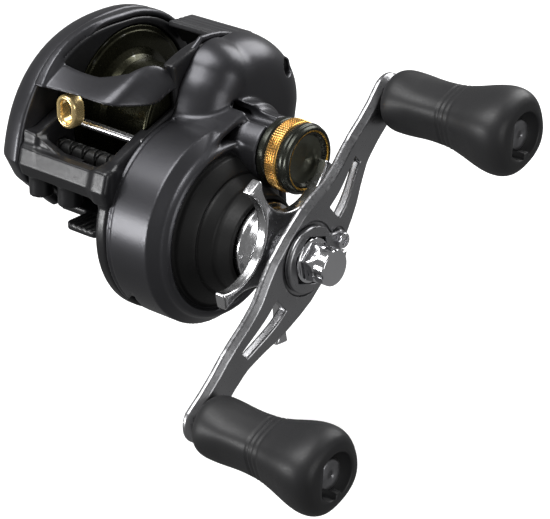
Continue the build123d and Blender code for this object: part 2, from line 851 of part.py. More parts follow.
tension_knob = turned(
    spool_y, spool_z,
    [
        (knob_skirt, stub_radius + 0.1),
        (knob_skirt, tension_radius - 1.0),
        (knob_skirt + 0.6, tension_radius - 0.4),
        (knob_skirt + 2.6, tension_radius - 0.4),
        (knob_skirt + 2.9, tension_radius),
        (knob_skirt + 6.6, tension_radius),
        (knob_skirt + 6.9, tension_radius - 0.4),
        (tension_end - 0.8, tension_radius - 0.4),
        (tension_end, tension_radius - 1.2),
        (tension_end, dish_radius + 0.6),
        (tension_end - 0.4, dish_radius),
        (tension_end - dish_depth, dish_radius - 1.0),
        (tension_end - dish_depth, 0),
        (knob_floor, 0),
        (knob_floor, stub_radius + 0.1),
    ],
)
tension_knob.part.label = "tension_knob"
export_step(tension_knob.part, "parts/tension_knob.step")

with BuildPart() as tension_spacer:
    with BuildSketch(Plane.YZ.offset(spool_shaft_end + 0.1)):
        with Locations((spool_y, spool_z)):
            Circle(bearing_radius - 0.4)
    extrude(amount=knob_floor - spool_shaft_end - 0.1)
tension_spacer.part.label = "tension_spacer"
export_step(tension_spacer.part, "parts/tension_spacer.step")


# ---------------------------------------------------------------- pinion and clutch
pinion_start = ring_outer + 0.3
pinion_collar = 4.4
groove_start = ring_outer + 2.5
groove_width = 1.6
groove_inner = 3.1
teeth_start = groove_start + groove_width + 0.75
teeth_end = pinion_bearing_x - 2.0
pinion_end = pinion_bearing_x + pinion_bearing_width - 0.2
pinion_bore = spool_shaft_radius + 0.2
tooth_slim = 0.06
cam_x = ring_outer + 0.4
cam_thickness = 1.7
cam_inner = 5.0
cam_outer = 6.2
yoke_x = groove_start + 0.1
yoke_thickness = 1.4
yoke_half_height = 3.2

with BuildPart() as pinion_gear:
    with BuildSketch(turning_plane(spool_y, spool_z)):
        with BuildLine():
            Polyline(
                (pinion_start, pinion_bore),
                (pinion_start, pinion_collar),
                (groove_start, pinion_collar),
                (groove_start, groove_inner),
                (groove_start + groove_width, groove_inner),
                (groove_start + groove_width, pinion_collar),
                (teeth_start, pinion_collar),
                (teeth_start, groove_inner),
                (pinion_end, groove_inner),
                (pinion_end, pinion_bore),
                close=True,
            )
        make_face()
    revolve(axis=Axis((0, spool_y, spool_z), (1, 0, 0)))
    with BuildSketch(Plane.YZ.offset(teeth_start)):
        with BuildLine():
            gap_angle = mesh_angle + 180 + 180 / pinion_teeth
            outline = gear_points(pinion_teeth, gear_module, gap_angle, spool_y, spool_z, tooth_slim)
            Polyline(*outline, close=True)
        make_face()
        with Locations((spool_y, spool_z)):
            Circle(pinion_bore, mode=Mode.SUBTRACT)
    extrude(amount=teeth_end - teeth_start)
    # slot that drops over the spool pin
    with BuildSketch(Plane.YZ.offset(pinion_start)):
        with Locations((spool_y, spool_z)):
            Rectangle(2 * pinion_collar + 1, 2 * pin_radius + 0.4)
    extrude(amount=pin_x + pin_radius + 0.2 - pinion_start, mode=Mode.SUBTRACT)
pinion_gear.part.label = "pinion_gear"
export_step(pinion_gear.part, "parts/pinion_gear.step")

pinion_bearing = turned(
    spool_y, spool_z,
    ring_points(
        pinion_bearing_x, pinion_bearing_x + pinion_bearing_width,
        groove_inner + running, pinion_bearing_radius,
    ),
)
pinion_bearing.part.label = "pinion_bearing"
export_step(pinion_bearing.part, "parts/pinion_bearing.step")

with BuildPart() as clutch_yoke:
    with BuildSketch(Plane.YZ.offset(yoke_x)):
        with Locations((spool_y, spool_z + 1.0)):
            RectangleRounded(2 * (yoke_post_y + 2.4), 2 * yoke_half_height + 1, 2.0)
        with Locations((spool_y, spool_z)):
            Circle(groove_inner + 0.15, mode=Mode.SUBTRACT)
        with Locations((spool_y, spool_z - 5)):
            Rectangle(2 * groove_inner + 0.3, 10, mode=Mode.SUBTRACT)
        with Locations((spool_y, spool_z + yoke_post_rise)):
            with GridLocations(2 * yoke_post_y, 0, 2, 1):
                Circle(yoke_post_radius + 0.08, mode=Mode.SUBTRACT)
    extrude(amount=yoke_thickness)
clutch_yoke.part.label = "clutch_yoke"
export_step(clutch_yoke.part, "parts/clutch_yoke.step")

with BuildPart() as yoke_springs:
    with BuildSketch(Plane.YZ.offset(yoke_x + yoke_thickness)):
        with Locations((spool_y, spool_z + yoke_post_rise)):
            with GridLocations(2 * yoke_post_y, 0, 2, 1):
                Circle(yoke_post_radius + 0.6)
                Circle(yoke_post_radius + 0.08, mode=Mode.SUBTRACT)
    extrude(amount=3.0)
yoke_springs.part.label = "yoke_springs"
export_step(yoke_springs.part, "parts/yoke_springs.step")


lever_low = slot_low + thumb_travel + 1.5
lever_high = slot_high - 1.5
lever_inner = slot_inner + 0.3
lever_outer = slot_outer - 0.3

with BuildPart() as clutch_cam:
    with BuildSketch(Plane.YZ.offset(cam_x)):
        with Locations((spool_y, spool_z)):
            Circle(cam_outer)
        # lever out to the thumb bar
        with BuildLine():
            Polyline(
                spool_point(cam_inner + 0.8, lever_low - 8),
                spool_point(lever_outer, lever_low),
                spool_point(lever_outer, lever_high),
                spool_point(cam_inner + 0.8, lever_high + 8),
                close=True,
            )
        make_face()
        with Locations((spool_y, spool_z)):
            Circle(cam_inner, mode=Mode.SUBTRACT)
    extrude(amount=cam_thickness)
clutch_cam.part.label = "clutch_cam"
export_step(clutch_cam.part, "parts/clutch_cam.step")

clutch_spring = turned(
    spool_y + 12.0, spool_z - 4.0,
    ring_points(ring_outer, ring_outer + 2.4, 1.0, 1.7),
)
clutch_spring.part.label = "clutch_spring"
export_step(clutch_spring.part, "parts/clutch_spring.step")

thumb_inner = flange_bore + 1.6
thumb_half = ring_inner - 0.5

with BuildPart() as thumb_bar:
    # the pad under the thumb, from ring to ring
    with BuildSketch(Plane.YZ.offset(-thumb_half)):
        with BuildLine():
            pad_front = (spool_y + flange_bore - 7.25, spool_z + flange_bore - 2.25)
            pad_back = (spool_y + flange_bore + 2.15, spool_z + flange_bore - 2.85)
            skirt_back = (spool_y + flange_bore + 1.75, spool_z + flange_bore - 7.85)
            skirt_low = spool_point(thumb_inner, 32)
            skirt_mid = spool_point(thumb_inner, 42)
            skirt_front = spool_point(thumb_inner, 52)
            Line(pad_front, pad_back)
            Line(pad_back, skirt_back)
            Line(skirt_back, skirt_low)
            ThreePointArc(skirt_low, skirt_mid, skirt_front)
            Line(skirt_front, pad_front)
        make_face()
    extrude(amount=2 * thumb_half)
    # tab through the frame to the cam lever
    with BuildSketch(Plane.YZ.offset(thumb_half)):
        with BuildLine():
            Polyline(
                spool_point(lever_inner, lever_low),
                spool_point(lever_outer, lever_low),
                spool_point(lever_outer, lever_high),
                spool_point(lever_inner, lever_high),
                close=True,
            )
        make_face()
    extrude(amount=cam_x - thumb_half)
    # shallow grip grooves along the pad
    with BuildSketch(Plane.YZ.offset(-thumb_half)):
        with Locations((spool_y + flange_bore - 2.55, spool_z + flange_bore - 2.55)):
            with GridLocations(1.9, 0, 4, 1):
                Circle(0.3)
    extrude(amount=2 * thumb_half, mode=Mode.SUBTRACT)
thumb_bar.part.label = "thumb_bar"
export_step(thumb_bar.part, "parts/thumb_bar.step")


# ---------------------------------------------------------------- handle shaft and drag
shaft_start = ring_outer - shaft_bearing_width
shaft_end = nut_end - 2.0
lw_gear_x = ring_outer + 0.6
lw_gear_width = 2.0
ratchet_x = lw_gear_x + lw_gear_width + 0.3
ratchet_thickness = 1.2
ratchet_radius = 9.0
ratchet_teeth = 12
ratchet_notch_radius = 1.2
flange_x = ratchet_x + ratchet_thickness
drive_gear_x = cover_face + 6.55
drive_gear_width = 4.0
drag_radius = 14.4
drag_floor = 1.2
disc_thickness = 0.55
tube_x = drive_gear_x + drive_gear_width + 0.1
tube_radius = 5.0
hub_start = turret_top - 2.3
hub_drum_radius = 7.0
tube_flange_radius = 9.4
tube_flange_width = 1.8
clutch_end = cavity_top + 6.6
outer_bearing_x = cavity_top + 7.0

drive_shaft = turned(
    main_y, main_z,
    [
        (shaft_start, 0), (shaft_start, shaft_radius), (flange_x, shaft_radius),
        (flange_x, hub_drum_radius), (drive_gear_x, hub_drum_radius), (drive_gear_x, shaft_radius),
        (shaft_end, shaft_radius), (shaft_end, 0),
    ],
)
drive_shaft.part.label = "drive_shaft"
export_step(drive_shaft.part, "parts/drive_shaft.step")

shaft_bearing_inner = turned(
    main_y, main_z,
    ring_points(shaft_start, ring_outer, shaft_radius + running, shaft_bearing_radius),
)
shaft_bearing_inner.part.label = "shaft_bearing_inner"
export_step(shaft_bearing_inner.part, "parts/shaft_bearing_inner.step")

with BuildPart() as level_wind_drive_gear:
    with BuildSketch(Plane.YZ.offset(lw_gear_x)):
        with BuildLine():
            outline = gear_points(
                worm_drive_teeth, worm_module, worm_train_angle, main_y, main_z, tooth_slim
            )
            Polyline(*outline, close=True)
        make_face()
        with Locations((main_y, main_z)):
            Circle(shaft_radius, mode=Mode.SUBTRACT)
    extrude(amount=lw_gear_width)
level_wind_drive_gear.part.label = "level_wind_drive_gear"
export_step(level_wind_drive_gear.part, "parts/level_wind_drive_gear.step")

with BuildPart() as ratchet_plate:
    with BuildSketch(Plane.YZ.offset(ratchet_x)):
        with Locations((main_y, main_z)):
            Circle(ratchet_radius)
            with PolarLocations(ratchet_radius, ratchet_teeth):
                Circle(ratchet_notch_radius, mode=Mode.SUBTRACT)
            Circle(shaft_radius, mode=Mode.SUBTRACT)
    extrude(amount=ratchet_thickness)
ratchet_plate.part.label = "ratchet_plate"
export_step(ratchet_plate.part, "parts/ratchet_plate.step")

with BuildPart() as drive_gear:
    with BuildSketch(Plane.YZ.offset(drive_gear_x)):
        with BuildLine():
            outline = gear_points(drive_teeth, gear_module, mesh_angle, main_y, main_z, tooth_slim)
            Polyline(*outline, close=True)
        make_face()
        with Locations((main_y, main_z)):
            Circle(shaft_radius, mode=Mode.SUBTRACT)
    extrude(amount=drive_gear_width)
    with BuildSketch(Plane.YZ.offset(drive_gear_x + drag_floor)):
        with Locations((main_y, main_z)):
            Circle(drag_radius)
    extrude(amount=drive_gear_width, mode=Mode.SUBTRACT)
drive_gear.part.label = "drive_gear"
export_step(drive_gear.part, "parts/drive_gear.step")

# three carbon discs with two steel plates between them
with BuildPart() as drag_discs:
    for number in range(3):
        with BuildSketch(Plane.YZ.offset(drive_gear_x + drag_floor + 2 * number * disc_thickness)):
            with Locations((main_y, main_z)):
                Circle(drag_radius - 0.2)
                Circle(shaft_radius + 1.0, mode=Mode.SUBTRACT)
        extrude(amount=disc_thickness)
drag_discs.part.label = "drag_discs"
export_step(drag_discs.part, "parts/drag_discs.step")

with BuildPart() as drag_plates:
    for number in range(2):
        plate_x = drive_gear_x + drag_floor + (2 * number + 1) * disc_thickness
        with BuildSketch(Plane.YZ.offset(plate_x)):
            with Locations((main_y, main_z)):
                Circle(drag_radius - 0.4)
                Circle(shaft_radius, mode=Mode.SUBTRACT)
        extrude(amount=disc_thickness)
drag_plates.part.label = "drag_plates"
export_step(drag_plates.part, "parts/drag_plates.step")

clutch_tube = turned(
    main_y, main_z,
    [
        (tube_x, shaft_radius), (tube_x, tube_flange_radius),
        (tube_x + tube_flange_width, tube_flange_radius), (tube_x + tube_flange_width, tube_radius),
        (hub_seat + 0.4, tube_radius), (hub_seat + 0.4, shaft_radius),
    ],
)
clutch_tube.part.label = "clutch_tube"
export_step(clutch_tube.part, "parts/clutch_tube.step")

roller_clutch = turned(
    main_y, main_z,
    ring_points(cavity_top + 0.2, clutch_end, tube_radius + running, clutch_bearing_radius),
)
roller_clutch.part.label = "roller_clutch"
export_step(roller_clutch.part, "parts/roller_clutch.step")

shaft_bearing_outer = turned(
    main_y, main_z,
    ring_points(outer_bearing_x, hub_seat, tube_radius + running, clutch_bearing_radius),
)
shaft_bearing_outer.part.label = "shaft_bearing_outer"
export_step(shaft_bearing_outer.part, "parts/shaft_bearing_outer.step")

with BuildPart() as spring_washers:
    for number, lean in ((0, 1), (1, -1)):
        washer_x = hub_seat + 0.6 + number * 1.4
        with BuildSketch(turning_plane(main_y, main_z)):
            with BuildLine():
                tilt = 0.35 * lean
                Polyline(
                    (washer_x + 0.4 - tilt, shaft_radius),
                    (washer_x + 1.0 - tilt, shaft_radius),
                    (washer_x + 1.0 + tilt, 6.4),
                    (washer_x + 0.4 + tilt, 6.4),
                    close=True,
                )
            make_face()
        revolve(axis=Axis((0, main_y, main_z), (1, 0, 0)))
spring_washers.part.label = "spring_washers"
export_step(spring_washers.part, "parts/spring_washers.step")


# ---------------------------------------------------------------- star drag
hub_radius = hub_bore - 0.5
star_face_radius = 9.0

with BuildPart() as star_drag:
    with BuildSketch(turning_plane(main_y, main_z)):
        with BuildLine():
            Polyline(
                (hub_start, shaft_radius + 0.1),
                (hub_start, hub_radius),
                (star_x - 4.6, hub_radius),
                (star_x - 3.6, hub_radius - 0.8),
                (star_x, star_face_radius),
                (star_x + star_thickness, star_face_radius),
                (star_x + star_thickness, shaft_radius + 0.1),
                close=True,
            )
        make_face()
    revolve(axis=Axis((0, main_y, main_z), (1, 0, 0)))
    # a disc with a scallop taken out between each arm and the next
    with BuildSketch(Plane.YZ.offset(star_x)):
        with Locations((main_y, main_z)):
            Circle(star_radius)
        for number in range(star_arms):
            angle = radians(star_first_angle + 360 / star_arms * (number + 0.5))
            scallop_y = main_y + scallop_centre * cos(angle)
            scallop_z = main_z + scallop_centre * sin(angle)
            with Locations((scallop_y, scallop_z)):
                Circle(scallop_radius, mode=Mode.SUBTRACT)
        with Locations((main_y, main_z)):
            Circle(star_face_radius, mode=Mode.SUBTRACT)
    extrude(amount=star_thickness)
star_drag.part.label = "star_drag"
export_step(star_drag.part, "parts/star_drag.step")

handle_spacer = turned(
    main_y, main_z,
    ring_points(star_x + star_thickness + 0.3, handle_x, shaft_radius, 5.6),
)
handle_spacer.part.label = "handle_spacer"
export_step(handle_spacer.part, "parts/handle_spacer.step")


# ---------------------------------------------------------------- handle
hub_half_width = 12.2
slot_start = 14.0
slot_end = 31.0
retainer_radius = 9.4
retainer_thickness = 1.3
retainer_screw_s = 10.2
retainer_screw_t = -6.6

along = Vector(0, cos(radians(handle_angle)), sin(radians(handle_angle)))
handle_plane = Plane(origin=(0, main_y, main_z), x_dir=along, z_dir=(1, 0, 0))
bend_plane = Plane(origin=(0, main_y, main_z), x_dir=along, z_dir=(0, along.Z, -along.Y))

with BuildPart() as handle_arm:
    with BuildSketch(handle_plane.offset(handle_x - arm_drop)):
        for side in (1, -1):
            with BuildLine():
                Polyline(
                    (0, hub_half_width), (side * 8.0, hub_half_width - 0.4), (side * 19.0, 8.9),
                    (side * 33.0, 6.0), (side * 44.0, 5.6), (side * 44.0, -5.6), (side * 33.0, -6.0),
                    (side * 19.0, -8.9), (side * 8.0, -hub_half_width + 0.4), (0, -hub_half_width),
                    close=True,
                )
            make_face()
            with Locations((side * handle_half, 0)):
                Circle(6.4)
            with BuildLine():
                Polyline(
                    (side * 43.0, 5.6), (side * handle_half, 6.3),
                    (side * handle_half, -6.3), (side * 43.0, -5.6), close=True,
                )
            make_face()
        # wedge-shaped windows
        for side in (1, -1):
            with BuildLine():
                Polyline(
                    (side * slot_start, 2.9), (side * slot_end, 1.5),
                    (side * slot_end, -1.5), (side * slot_start, -2.9), close=True,
                )
            make_face(mode=Mode.SUBTRACT)
        with Locations((0, 0)):
            Circle(shaft_radius, mode=Mode.SUBTRACT)
        with Locations((handle_half, 0), (-handle_half, 0)):
            Circle(knob_post_radius, mode=Mode.SUBTRACT)
    extrude(amount=handle_thickness + arm_drop)
    # the plate is bent: keep the part inside its side profile
    with BuildSketch(bend_plane):
        with BuildLine():
            Polyline(
                (-handle_half - 8, handle_x - arm_drop),
                (-36, handle_x - arm_drop),
                (-17, handle_x),
                (17, handle_x),
                (36, handle_x - arm_drop),
                (handle_half + 8, handle_x - arm_drop),
                (handle_half + 8, handle_x - arm_drop + handle_thickness),
                (36, handle_x - arm_drop + handle_thickness),
                (17, handle_x + handle_thickness),
                (-17, handle_x + handle_thickness),
                (-36, handle_x - arm_drop + handle_thickness),
                (-handle_half - 8, handle_x - arm_drop + handle_thickness),
                close=True,
            )
        make_face()
    extrude(amount=30, both=True, mode=Mode.INTERSECT)
handle_arm.part.label = "handle_arm"
export_step(handle_arm.part, "parts/handle_arm.step")

nut_base = 4.2
nut_cap_radius = 5.2
hex_radius = nut_flats / sqrt(3)

with BuildPart() as handle_nut:
    with BuildSketch(handle_plane.offset(handle_x + handle_thickness)):
        RegularPolygon(hex_radius, 6)
        Circle(shaft_radius, mode=Mode.SUBTRACT)
    extrude(amount=nut_base)
    with BuildSketch(handle_plane.offset(handle_x + handle_thickness + nut_base)):
        Circle(nut_cap_radius - 0.2)
        Circle(shaft_radius, mode=Mode.SUBTRACT)
    extrude(amount=shaft_end - handle_x - handle_thickness - nut_base)
    with BuildSketch(handle_plane.offset(shaft_end)):
        Circle(nut_cap_radius - 0.2)
    extrude(amount=nut_end - shaft_end)
handle_nut.part.label = "handle_nut"
export_step(handle_nut.part, "parts/handle_nut.step")

with BuildPart() as nut_retainer:
    with BuildSketch(handle_plane.offset(handle_x + handle_thickness)):
        Circle(retainer_radius)
        with Locations((retainer_screw_s, retainer_screw_t)):
            Circle(2.6)
        with BuildLine():
            Polyline(
                (retainer_radius - 1, -1), (retainer_screw_s + 1.9, retainer_screw_t + 1.6),
                (retainer_screw_s - 1.8, retainer_screw_t - 1.9), (0, -retainer_radius + 0.5),
                (0, 0), close=True,
            )
        make_face()
        RegularPolygon(hex_radius + 0.15, 6, mode=Mode.SUBTRACT)
        with Locations((retainer_screw_s, retainer_screw_t)):
            Circle(0.9, mode=Mode.SUBTRACT)
    extrude(amount=retainer_thickness)
nut_retainer.part.label = "nut_retainer"
export_step(nut_retainer.part, "parts/nut_retainer.step")

with BuildPart() as retainer_screw:
    with BuildSketch(handle_plane.offset(handle_x + handle_thickness)):
        with Locations((retainer_screw_s, retainer_screw_t)):
            Circle(0.9)
    extrude(amount=retainer_thickness)
    with BuildSketch(handle_plane.offset(handle_x + handle_thickness + retainer_thickness)):
        with Locations((retainer_screw_s, retainer_screw_t)):
            Circle(2.1)
            Rectangle(0.6, 3.2, mode=Mode.SUBTRACT)
    extrude(amount=1.4)
retainer_screw.part.label = "retainer_screw"
export_step(retainer_screw.part, "parts/retainer_screw.step")


# ---------------------------------------------------------------- knobs
post_head = 1.0
post_head_radius = 3.6
cap_recess = 5.0
cap_radius = 4.8
cap_thickness = 3.6
bush_radius = 4.0
bush_width = 3.0
arm_end_x = handle_x - arm_drop
post_end = knob_end - cap_recess - 1.5

for name, side in (("top", 1), ("bottom", -1)):
    knob_y = main_y + side * handle_half * cos(radians(handle_angle))
    knob_z = main_z + side * handle_half * sin(radians(handle_angle))

    knob_post = turned(
        knob_y, knob_z,
        [
            (arm_end_x - post_head, 0), (arm_end_x - post_head, post_head_radius),
            (arm_end_x, post_head_radius), (arm_end_x, knob_post_radius),
            (post_end, knob_post_radius), (post_end, 0),
        ],
    )
    knob_post.part.label = f"knob_post_{name}"
    export_step(knob_post.part, f"parts/knob_post_{name}.step")

    knob_grip = turned(
        knob_y, knob_z,
        [
            (knob_start, bush_radius),
            (knob_start, 7.2),
            (knob_start + 1.2, 8.4),
            (knob_start + 6.0, knob_neck_radius + 0.3),
            (knob_start + 14.0, knob_neck_radius - 0.1),
            (knob_start + 20.0, knob_neck_radius + 0.3),
            (knob_start + 26.0, knob_neck_radius + 1.5),
            (knob_start + 32.0, knob_radius - 0.9),
            (knob_start + 36.5, knob_radius),
            (knob_end - 3.0, knob_radius - 0.8),
            (knob_end - 0.8, knob_radius - 2.8),
            (knob_end, knob_radius - 5.0),
            (knob_end, cap_radius + 0.9),
            (knob_end - 0.6, cap_radius),
            (knob_end - cap_recess, cap_radius),
            (knob_end - cap_recess, bush_radius),
            (post_end - bush_width, bush_radius),
            (post_end - bush_width, knob_post_radius + free),
            (knob_start + bush_width, knob_post_radius + free),
            (knob_start + bush_width, bush_radius),
        ],
    )
    knob_grip.part.label = f"knob_grip_{name}"
    export_step(knob_grip.part, f"parts/knob_grip_{name}.step")

    with BuildPart() as knob_cap:
        with BuildSketch(Plane.YZ.offset(knob_end - cap_recess)):
            with Locations((knob_y, knob_z)):
                Circle(cap_radius)
        extrude(amount=cap_thickness)
    knob_cap.part.label = f"knob_cap_{name}"
    export_step(knob_cap.part, f"parts/knob_cap_{name}.step")

    with BuildPart() as knob_bushes:
        for bush_x in (knob_start, post_end - bush_width):
            with BuildSketch(Plane.YZ.offset(bush_x)):
                with Locations((knob_y, knob_z)):
                    Circle(bush_radius)
                    Circle(knob_post_radius + running, mode=Mode.SUBTRACT)
            extrude(amount=bush_width)
    knob_bushes.part.label = f"knob_bushes_{name}"
    export_step(knob_bushes.part, f"parts/knob_bushes_{name}.step")


# ---------------------------------------------------------------- level wind
worm_end = ring_outer + 2.7
worm_journal = 2.0

worm_shaft = turned(
    worm_y, worm_z,
    [
        (-ring_outer, 0), (-ring_outer, worm_journal), (-ring_outer + worm_bush_width, worm_journal),
        (-ring_outer + worm_bush_width, worm_radius), (ring_outer - worm_bush_width, worm_radius),
        (ring_outer - worm_bush_width, worm_journal), (worm_end, worm_journal), (worm_end, 0),
    ],
)
worm_shaft.part.label = "worm_shaft"
export_step(worm_shaft.part, "parts/worm_shaft.step")

with BuildPart() as worm_bushings:
    for bush_x in (-ring_outer, ring_outer - worm_bush_width):
        with BuildSketch(Plane.YZ.offset(bush_x)):
            with Locations((worm_y, worm_z)):
                Circle(worm_bush_radius)
                Circle(worm_journal + running, mode=Mode.SUBTRACT)
        extrude(amount=worm_bush_width)
worm_bushings.part.label = "worm_bushings"
export_step(worm_bushings.part, "parts/worm_bushings.step")

with BuildPart() as worm_gear:
    with BuildSketch(Plane.YZ.offset(lw_gear_x)):
        with BuildLine():
            gap_angle = worm_train_angle + 180 + 180 / worm_teeth
            outline = gear_points(worm_teeth, worm_module, gap_angle, worm_y, worm_z, tooth_slim)
            Polyline(*outline, close=True)
        make_face()
        with Locations((worm_y, worm_z)):
            Circle(worm_journal, mode=Mode.SUBTRACT)
    extrude(amount=lw_gear_width)
worm_gear.part.label = "worm_gear"
export_step(worm_gear.part, "parts/worm_gear.step")

with BuildPart() as idler_gear:
    with BuildSketch(Plane.YZ.offset(lw_gear_x)):
        with BuildLine():
            gap_angle = worm_train_angle + 180 + 180 / idler_teeth
            outline = gear_points(idler_teeth, worm_module, gap_angle, idler_y, idler_z, tooth_slim)
            Polyline(*outline, close=True)
        make_face()
        with Locations((idler_y, idler_z)):
            Circle(idler_post_radius + running, mode=Mode.SUBTRACT)
    extrude(amount=lw_gear_width)
idler_gear.part.label = "idler_gear"
export_step(idler_gear.part, "parts/idler_gear.step")

with BuildPart() as guide_rod:
    with BuildSketch(Plane.YZ.offset(-ring_outer)):
        with Locations((rod_y, rod_z)):
            Circle(rod_radius)
    extrude(amount=2 * ring_outer)
guide_rod.part.label = "guide_rod"
export_step(guide_rod.part, "parts/guide_rod.step")

pawl_radius = 1.6
pawl_top = worm_z - worm_radius - 0.1
guide_bottom = worm_z - worm_radius - 2.4
cap_bottom = guide_bottom - 1.0
guide_back = guide_front + guide_depth
ring_seat = 4.0
ring_stand = 0.6

with BuildPart() as line_guide:
    with BuildSketch(Plane.YZ.offset(guide_x - guide_width / 2)):
        with BuildLine():
            Polyline(
                (guide_front + 1.6, guide_bottom),
                (guide_back, guide_bottom),
                (guide_back, rod_z + 3.0),
                (guide_back - 2.4, guide_top),
                (guide_front + 0.8, guide_top),
                (guide_front, guide_top - 0.8),
                (guide_front, guide_bottom + 1.6),
                close=True,
            )
        make_face()
        with Locations((worm_y, worm_z)):
            Circle(worm_radius + 0.05, mode=Mode.SUBTRACT)
        with Locations((rod_y, rod_z)):
            Circle(rod_radius + 0.05, mode=Mode.SUBTRACT)
    extrude(amount=guide_width)
    # passage for the line, with a wider seat for the guide ring
    with BuildSketch(Plane.XZ.offset(-guide_front)):
        with Locations((guide_x, eye_z)):
            SlotOverall(eye_height - 2 * eye_wall, eye_width - 2 * eye_wall, rotation=90)
    extrude(amount=-guide_depth, mode=Mode.SUBTRACT)
    with BuildSketch(Plane.XZ.offset(-guide_front)):
        with Locations((guide_x, eye_z)):
            SlotOverall(eye_height, eye_width, rotation=90)
    extrude(amount=-ring_seat, mode=Mode.SUBTRACT)
    # seat of the pawl
    with BuildSketch(Plane.XY.offset(guide_bottom)):
        with Locations((guide_x, worm_y)):
            Circle(pawl_radius)
    extrude(amount=worm_z - guide_bottom, mode=Mode.SUBTRACT)
line_guide.part.label = "line_guide"
export_step(line_guide.part, "parts/line_guide.step")

with BuildPart() as guide_ring:
    with BuildSketch(Plane.XZ.offset(-guide_front + ring_stand)):
        with Locations((guide_x, eye_z)):
            SlotOverall(eye_height, eye_width, rotation=90)
            SlotOverall(eye_height - 2 * eye_wall, eye_width - 2 * eye_wall, rotation=90, mode=Mode.SUBTRACT)
    extrude(amount=-ring_seat - ring_stand)
guide_ring.part.label = "guide_ring"
export_step(guide_ring.part, "parts/guide_ring.step")

with BuildPart() as guide_pawl:
    with BuildSketch(Plane.XY.offset(guide_bottom)):
        with Locations((guide_x, worm_y)):
            Circle(pawl_radius)
    extrude(amount=pawl_top - guide_bottom)
guide_pawl.part.label = "guide_pawl"
export_step(guide_pawl.part, "parts/guide_pawl.step")

with BuildPart() as pawl_cap:
    with BuildSketch(Plane.XY.offset(cap_bottom)):
        with Locations((guide_x, worm_y)):
            Circle(2.8)
            Rectangle(0.7, 6, mode=Mode.SUBTRACT)
    extrude(amount=0.5)
    with BuildSketch(Plane.XY.offset(cap_bottom + 0.5)):
        with Locations((guide_x, worm_y)):
            Circle(2.8)
    extrude(amount=0.5)
pawl_cap.part.label = "pawl_cap"
export_step(pawl_cap.part, "parts/pawl_cap.step")


# ---------------------------------------------------------------- screws
with BuildPart() as gear_cover_screws:
    with BuildSketch(Plane.YZ.offset(cover_face)):
        for angle in lug_screw_angles:
            with Locations(spool_point(lug_screw_radius, angle)):
                Circle(screw_shank - 0.05)
        with Locations((front_screw_y, front_screw_z)):
            Circle(screw_shank - 0.05)
    extrude(amount=lug_face - cover_face)
    with BuildSketch(Plane.YZ.offset(lug_face)):
        for angle in lug_screw_angles:
            with Locations(spool_point(lug_screw_radius, angle)):
                Circle(screw_head_radius)
                Rectangle(0.6, 3, mode=Mode.SUBTRACT)
        with Locations((front_screw_y, front_screw_z)):
            Circle(screw_head_radius)
            Rectangle(0.6, 3, mode=Mode.SUBTRACT)
    extrude(amount=screw_head)
    with BuildSketch(Plane.YZ.offset(ring_inner + 0.5)):
        for angle in lug_screw_angles:
            with Locations(spool_point(lug_screw_radius, angle)):
                Circle(screw_hole_radius)
    extrude(amount=cover_face - ring_inner - 0.5)
    with BuildSketch(Plane.YZ.offset(bore_floor + 0.4)):
        with Locations((front_screw_y, front_screw_z)):
            Circle(screw_hole_radius)
    extrude(amount=cover_face - bore_floor - 0.4)
gear_cover_screws.part.label = "gear_cover_screws"
export_step(gear_cover_screws.part, "parts/gear_cover_screws.step")
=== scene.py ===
import math

import bpy
import numpy as np
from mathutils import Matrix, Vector
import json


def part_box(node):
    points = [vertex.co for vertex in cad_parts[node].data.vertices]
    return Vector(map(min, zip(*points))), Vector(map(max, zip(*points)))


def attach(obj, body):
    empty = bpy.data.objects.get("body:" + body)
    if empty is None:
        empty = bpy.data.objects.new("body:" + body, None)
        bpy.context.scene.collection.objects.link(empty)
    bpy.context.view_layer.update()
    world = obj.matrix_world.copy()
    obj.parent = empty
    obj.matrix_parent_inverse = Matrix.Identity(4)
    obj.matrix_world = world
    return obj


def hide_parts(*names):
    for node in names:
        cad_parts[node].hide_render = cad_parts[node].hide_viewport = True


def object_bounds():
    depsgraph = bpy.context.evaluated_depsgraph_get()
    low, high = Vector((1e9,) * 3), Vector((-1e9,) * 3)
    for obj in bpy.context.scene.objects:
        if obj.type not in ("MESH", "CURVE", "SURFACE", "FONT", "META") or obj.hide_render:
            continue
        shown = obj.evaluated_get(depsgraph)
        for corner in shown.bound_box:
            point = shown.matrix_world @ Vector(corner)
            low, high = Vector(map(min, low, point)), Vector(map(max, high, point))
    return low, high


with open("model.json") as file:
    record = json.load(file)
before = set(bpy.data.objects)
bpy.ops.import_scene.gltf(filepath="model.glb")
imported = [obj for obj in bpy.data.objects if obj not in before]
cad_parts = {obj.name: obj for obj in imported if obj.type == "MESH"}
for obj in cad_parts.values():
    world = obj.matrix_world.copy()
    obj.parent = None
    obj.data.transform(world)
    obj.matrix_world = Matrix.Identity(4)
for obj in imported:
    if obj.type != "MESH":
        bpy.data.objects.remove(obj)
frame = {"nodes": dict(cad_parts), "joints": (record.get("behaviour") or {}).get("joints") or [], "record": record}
cad_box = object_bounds()


# ------------------------------------------------------------------ main frame
# One aluminium die casting in satin black: two side rings joined by the nose beam under the
# window, the rear bar and the floor plate, with the long rod foot cast in one with it.
MM = 0.001
axis_of = {joint["name"]: [v / MM for v in joint.get("pos_m", (0, 0, 0))] for joint in frame["joints"]}
shaft_y, shaft_z = axis_of["crank_turn"][1:]
spool_y, spool_z = axis_of["spool_spin"][1:]
worm_y, worm_z = axis_of["worm_spin"][1:]


def box_mm(node):
    """Lowest and highest corner of a CAD node in millimetres."""
    low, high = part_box(node)
    return np.array(low) / MM, np.array(high) / MM


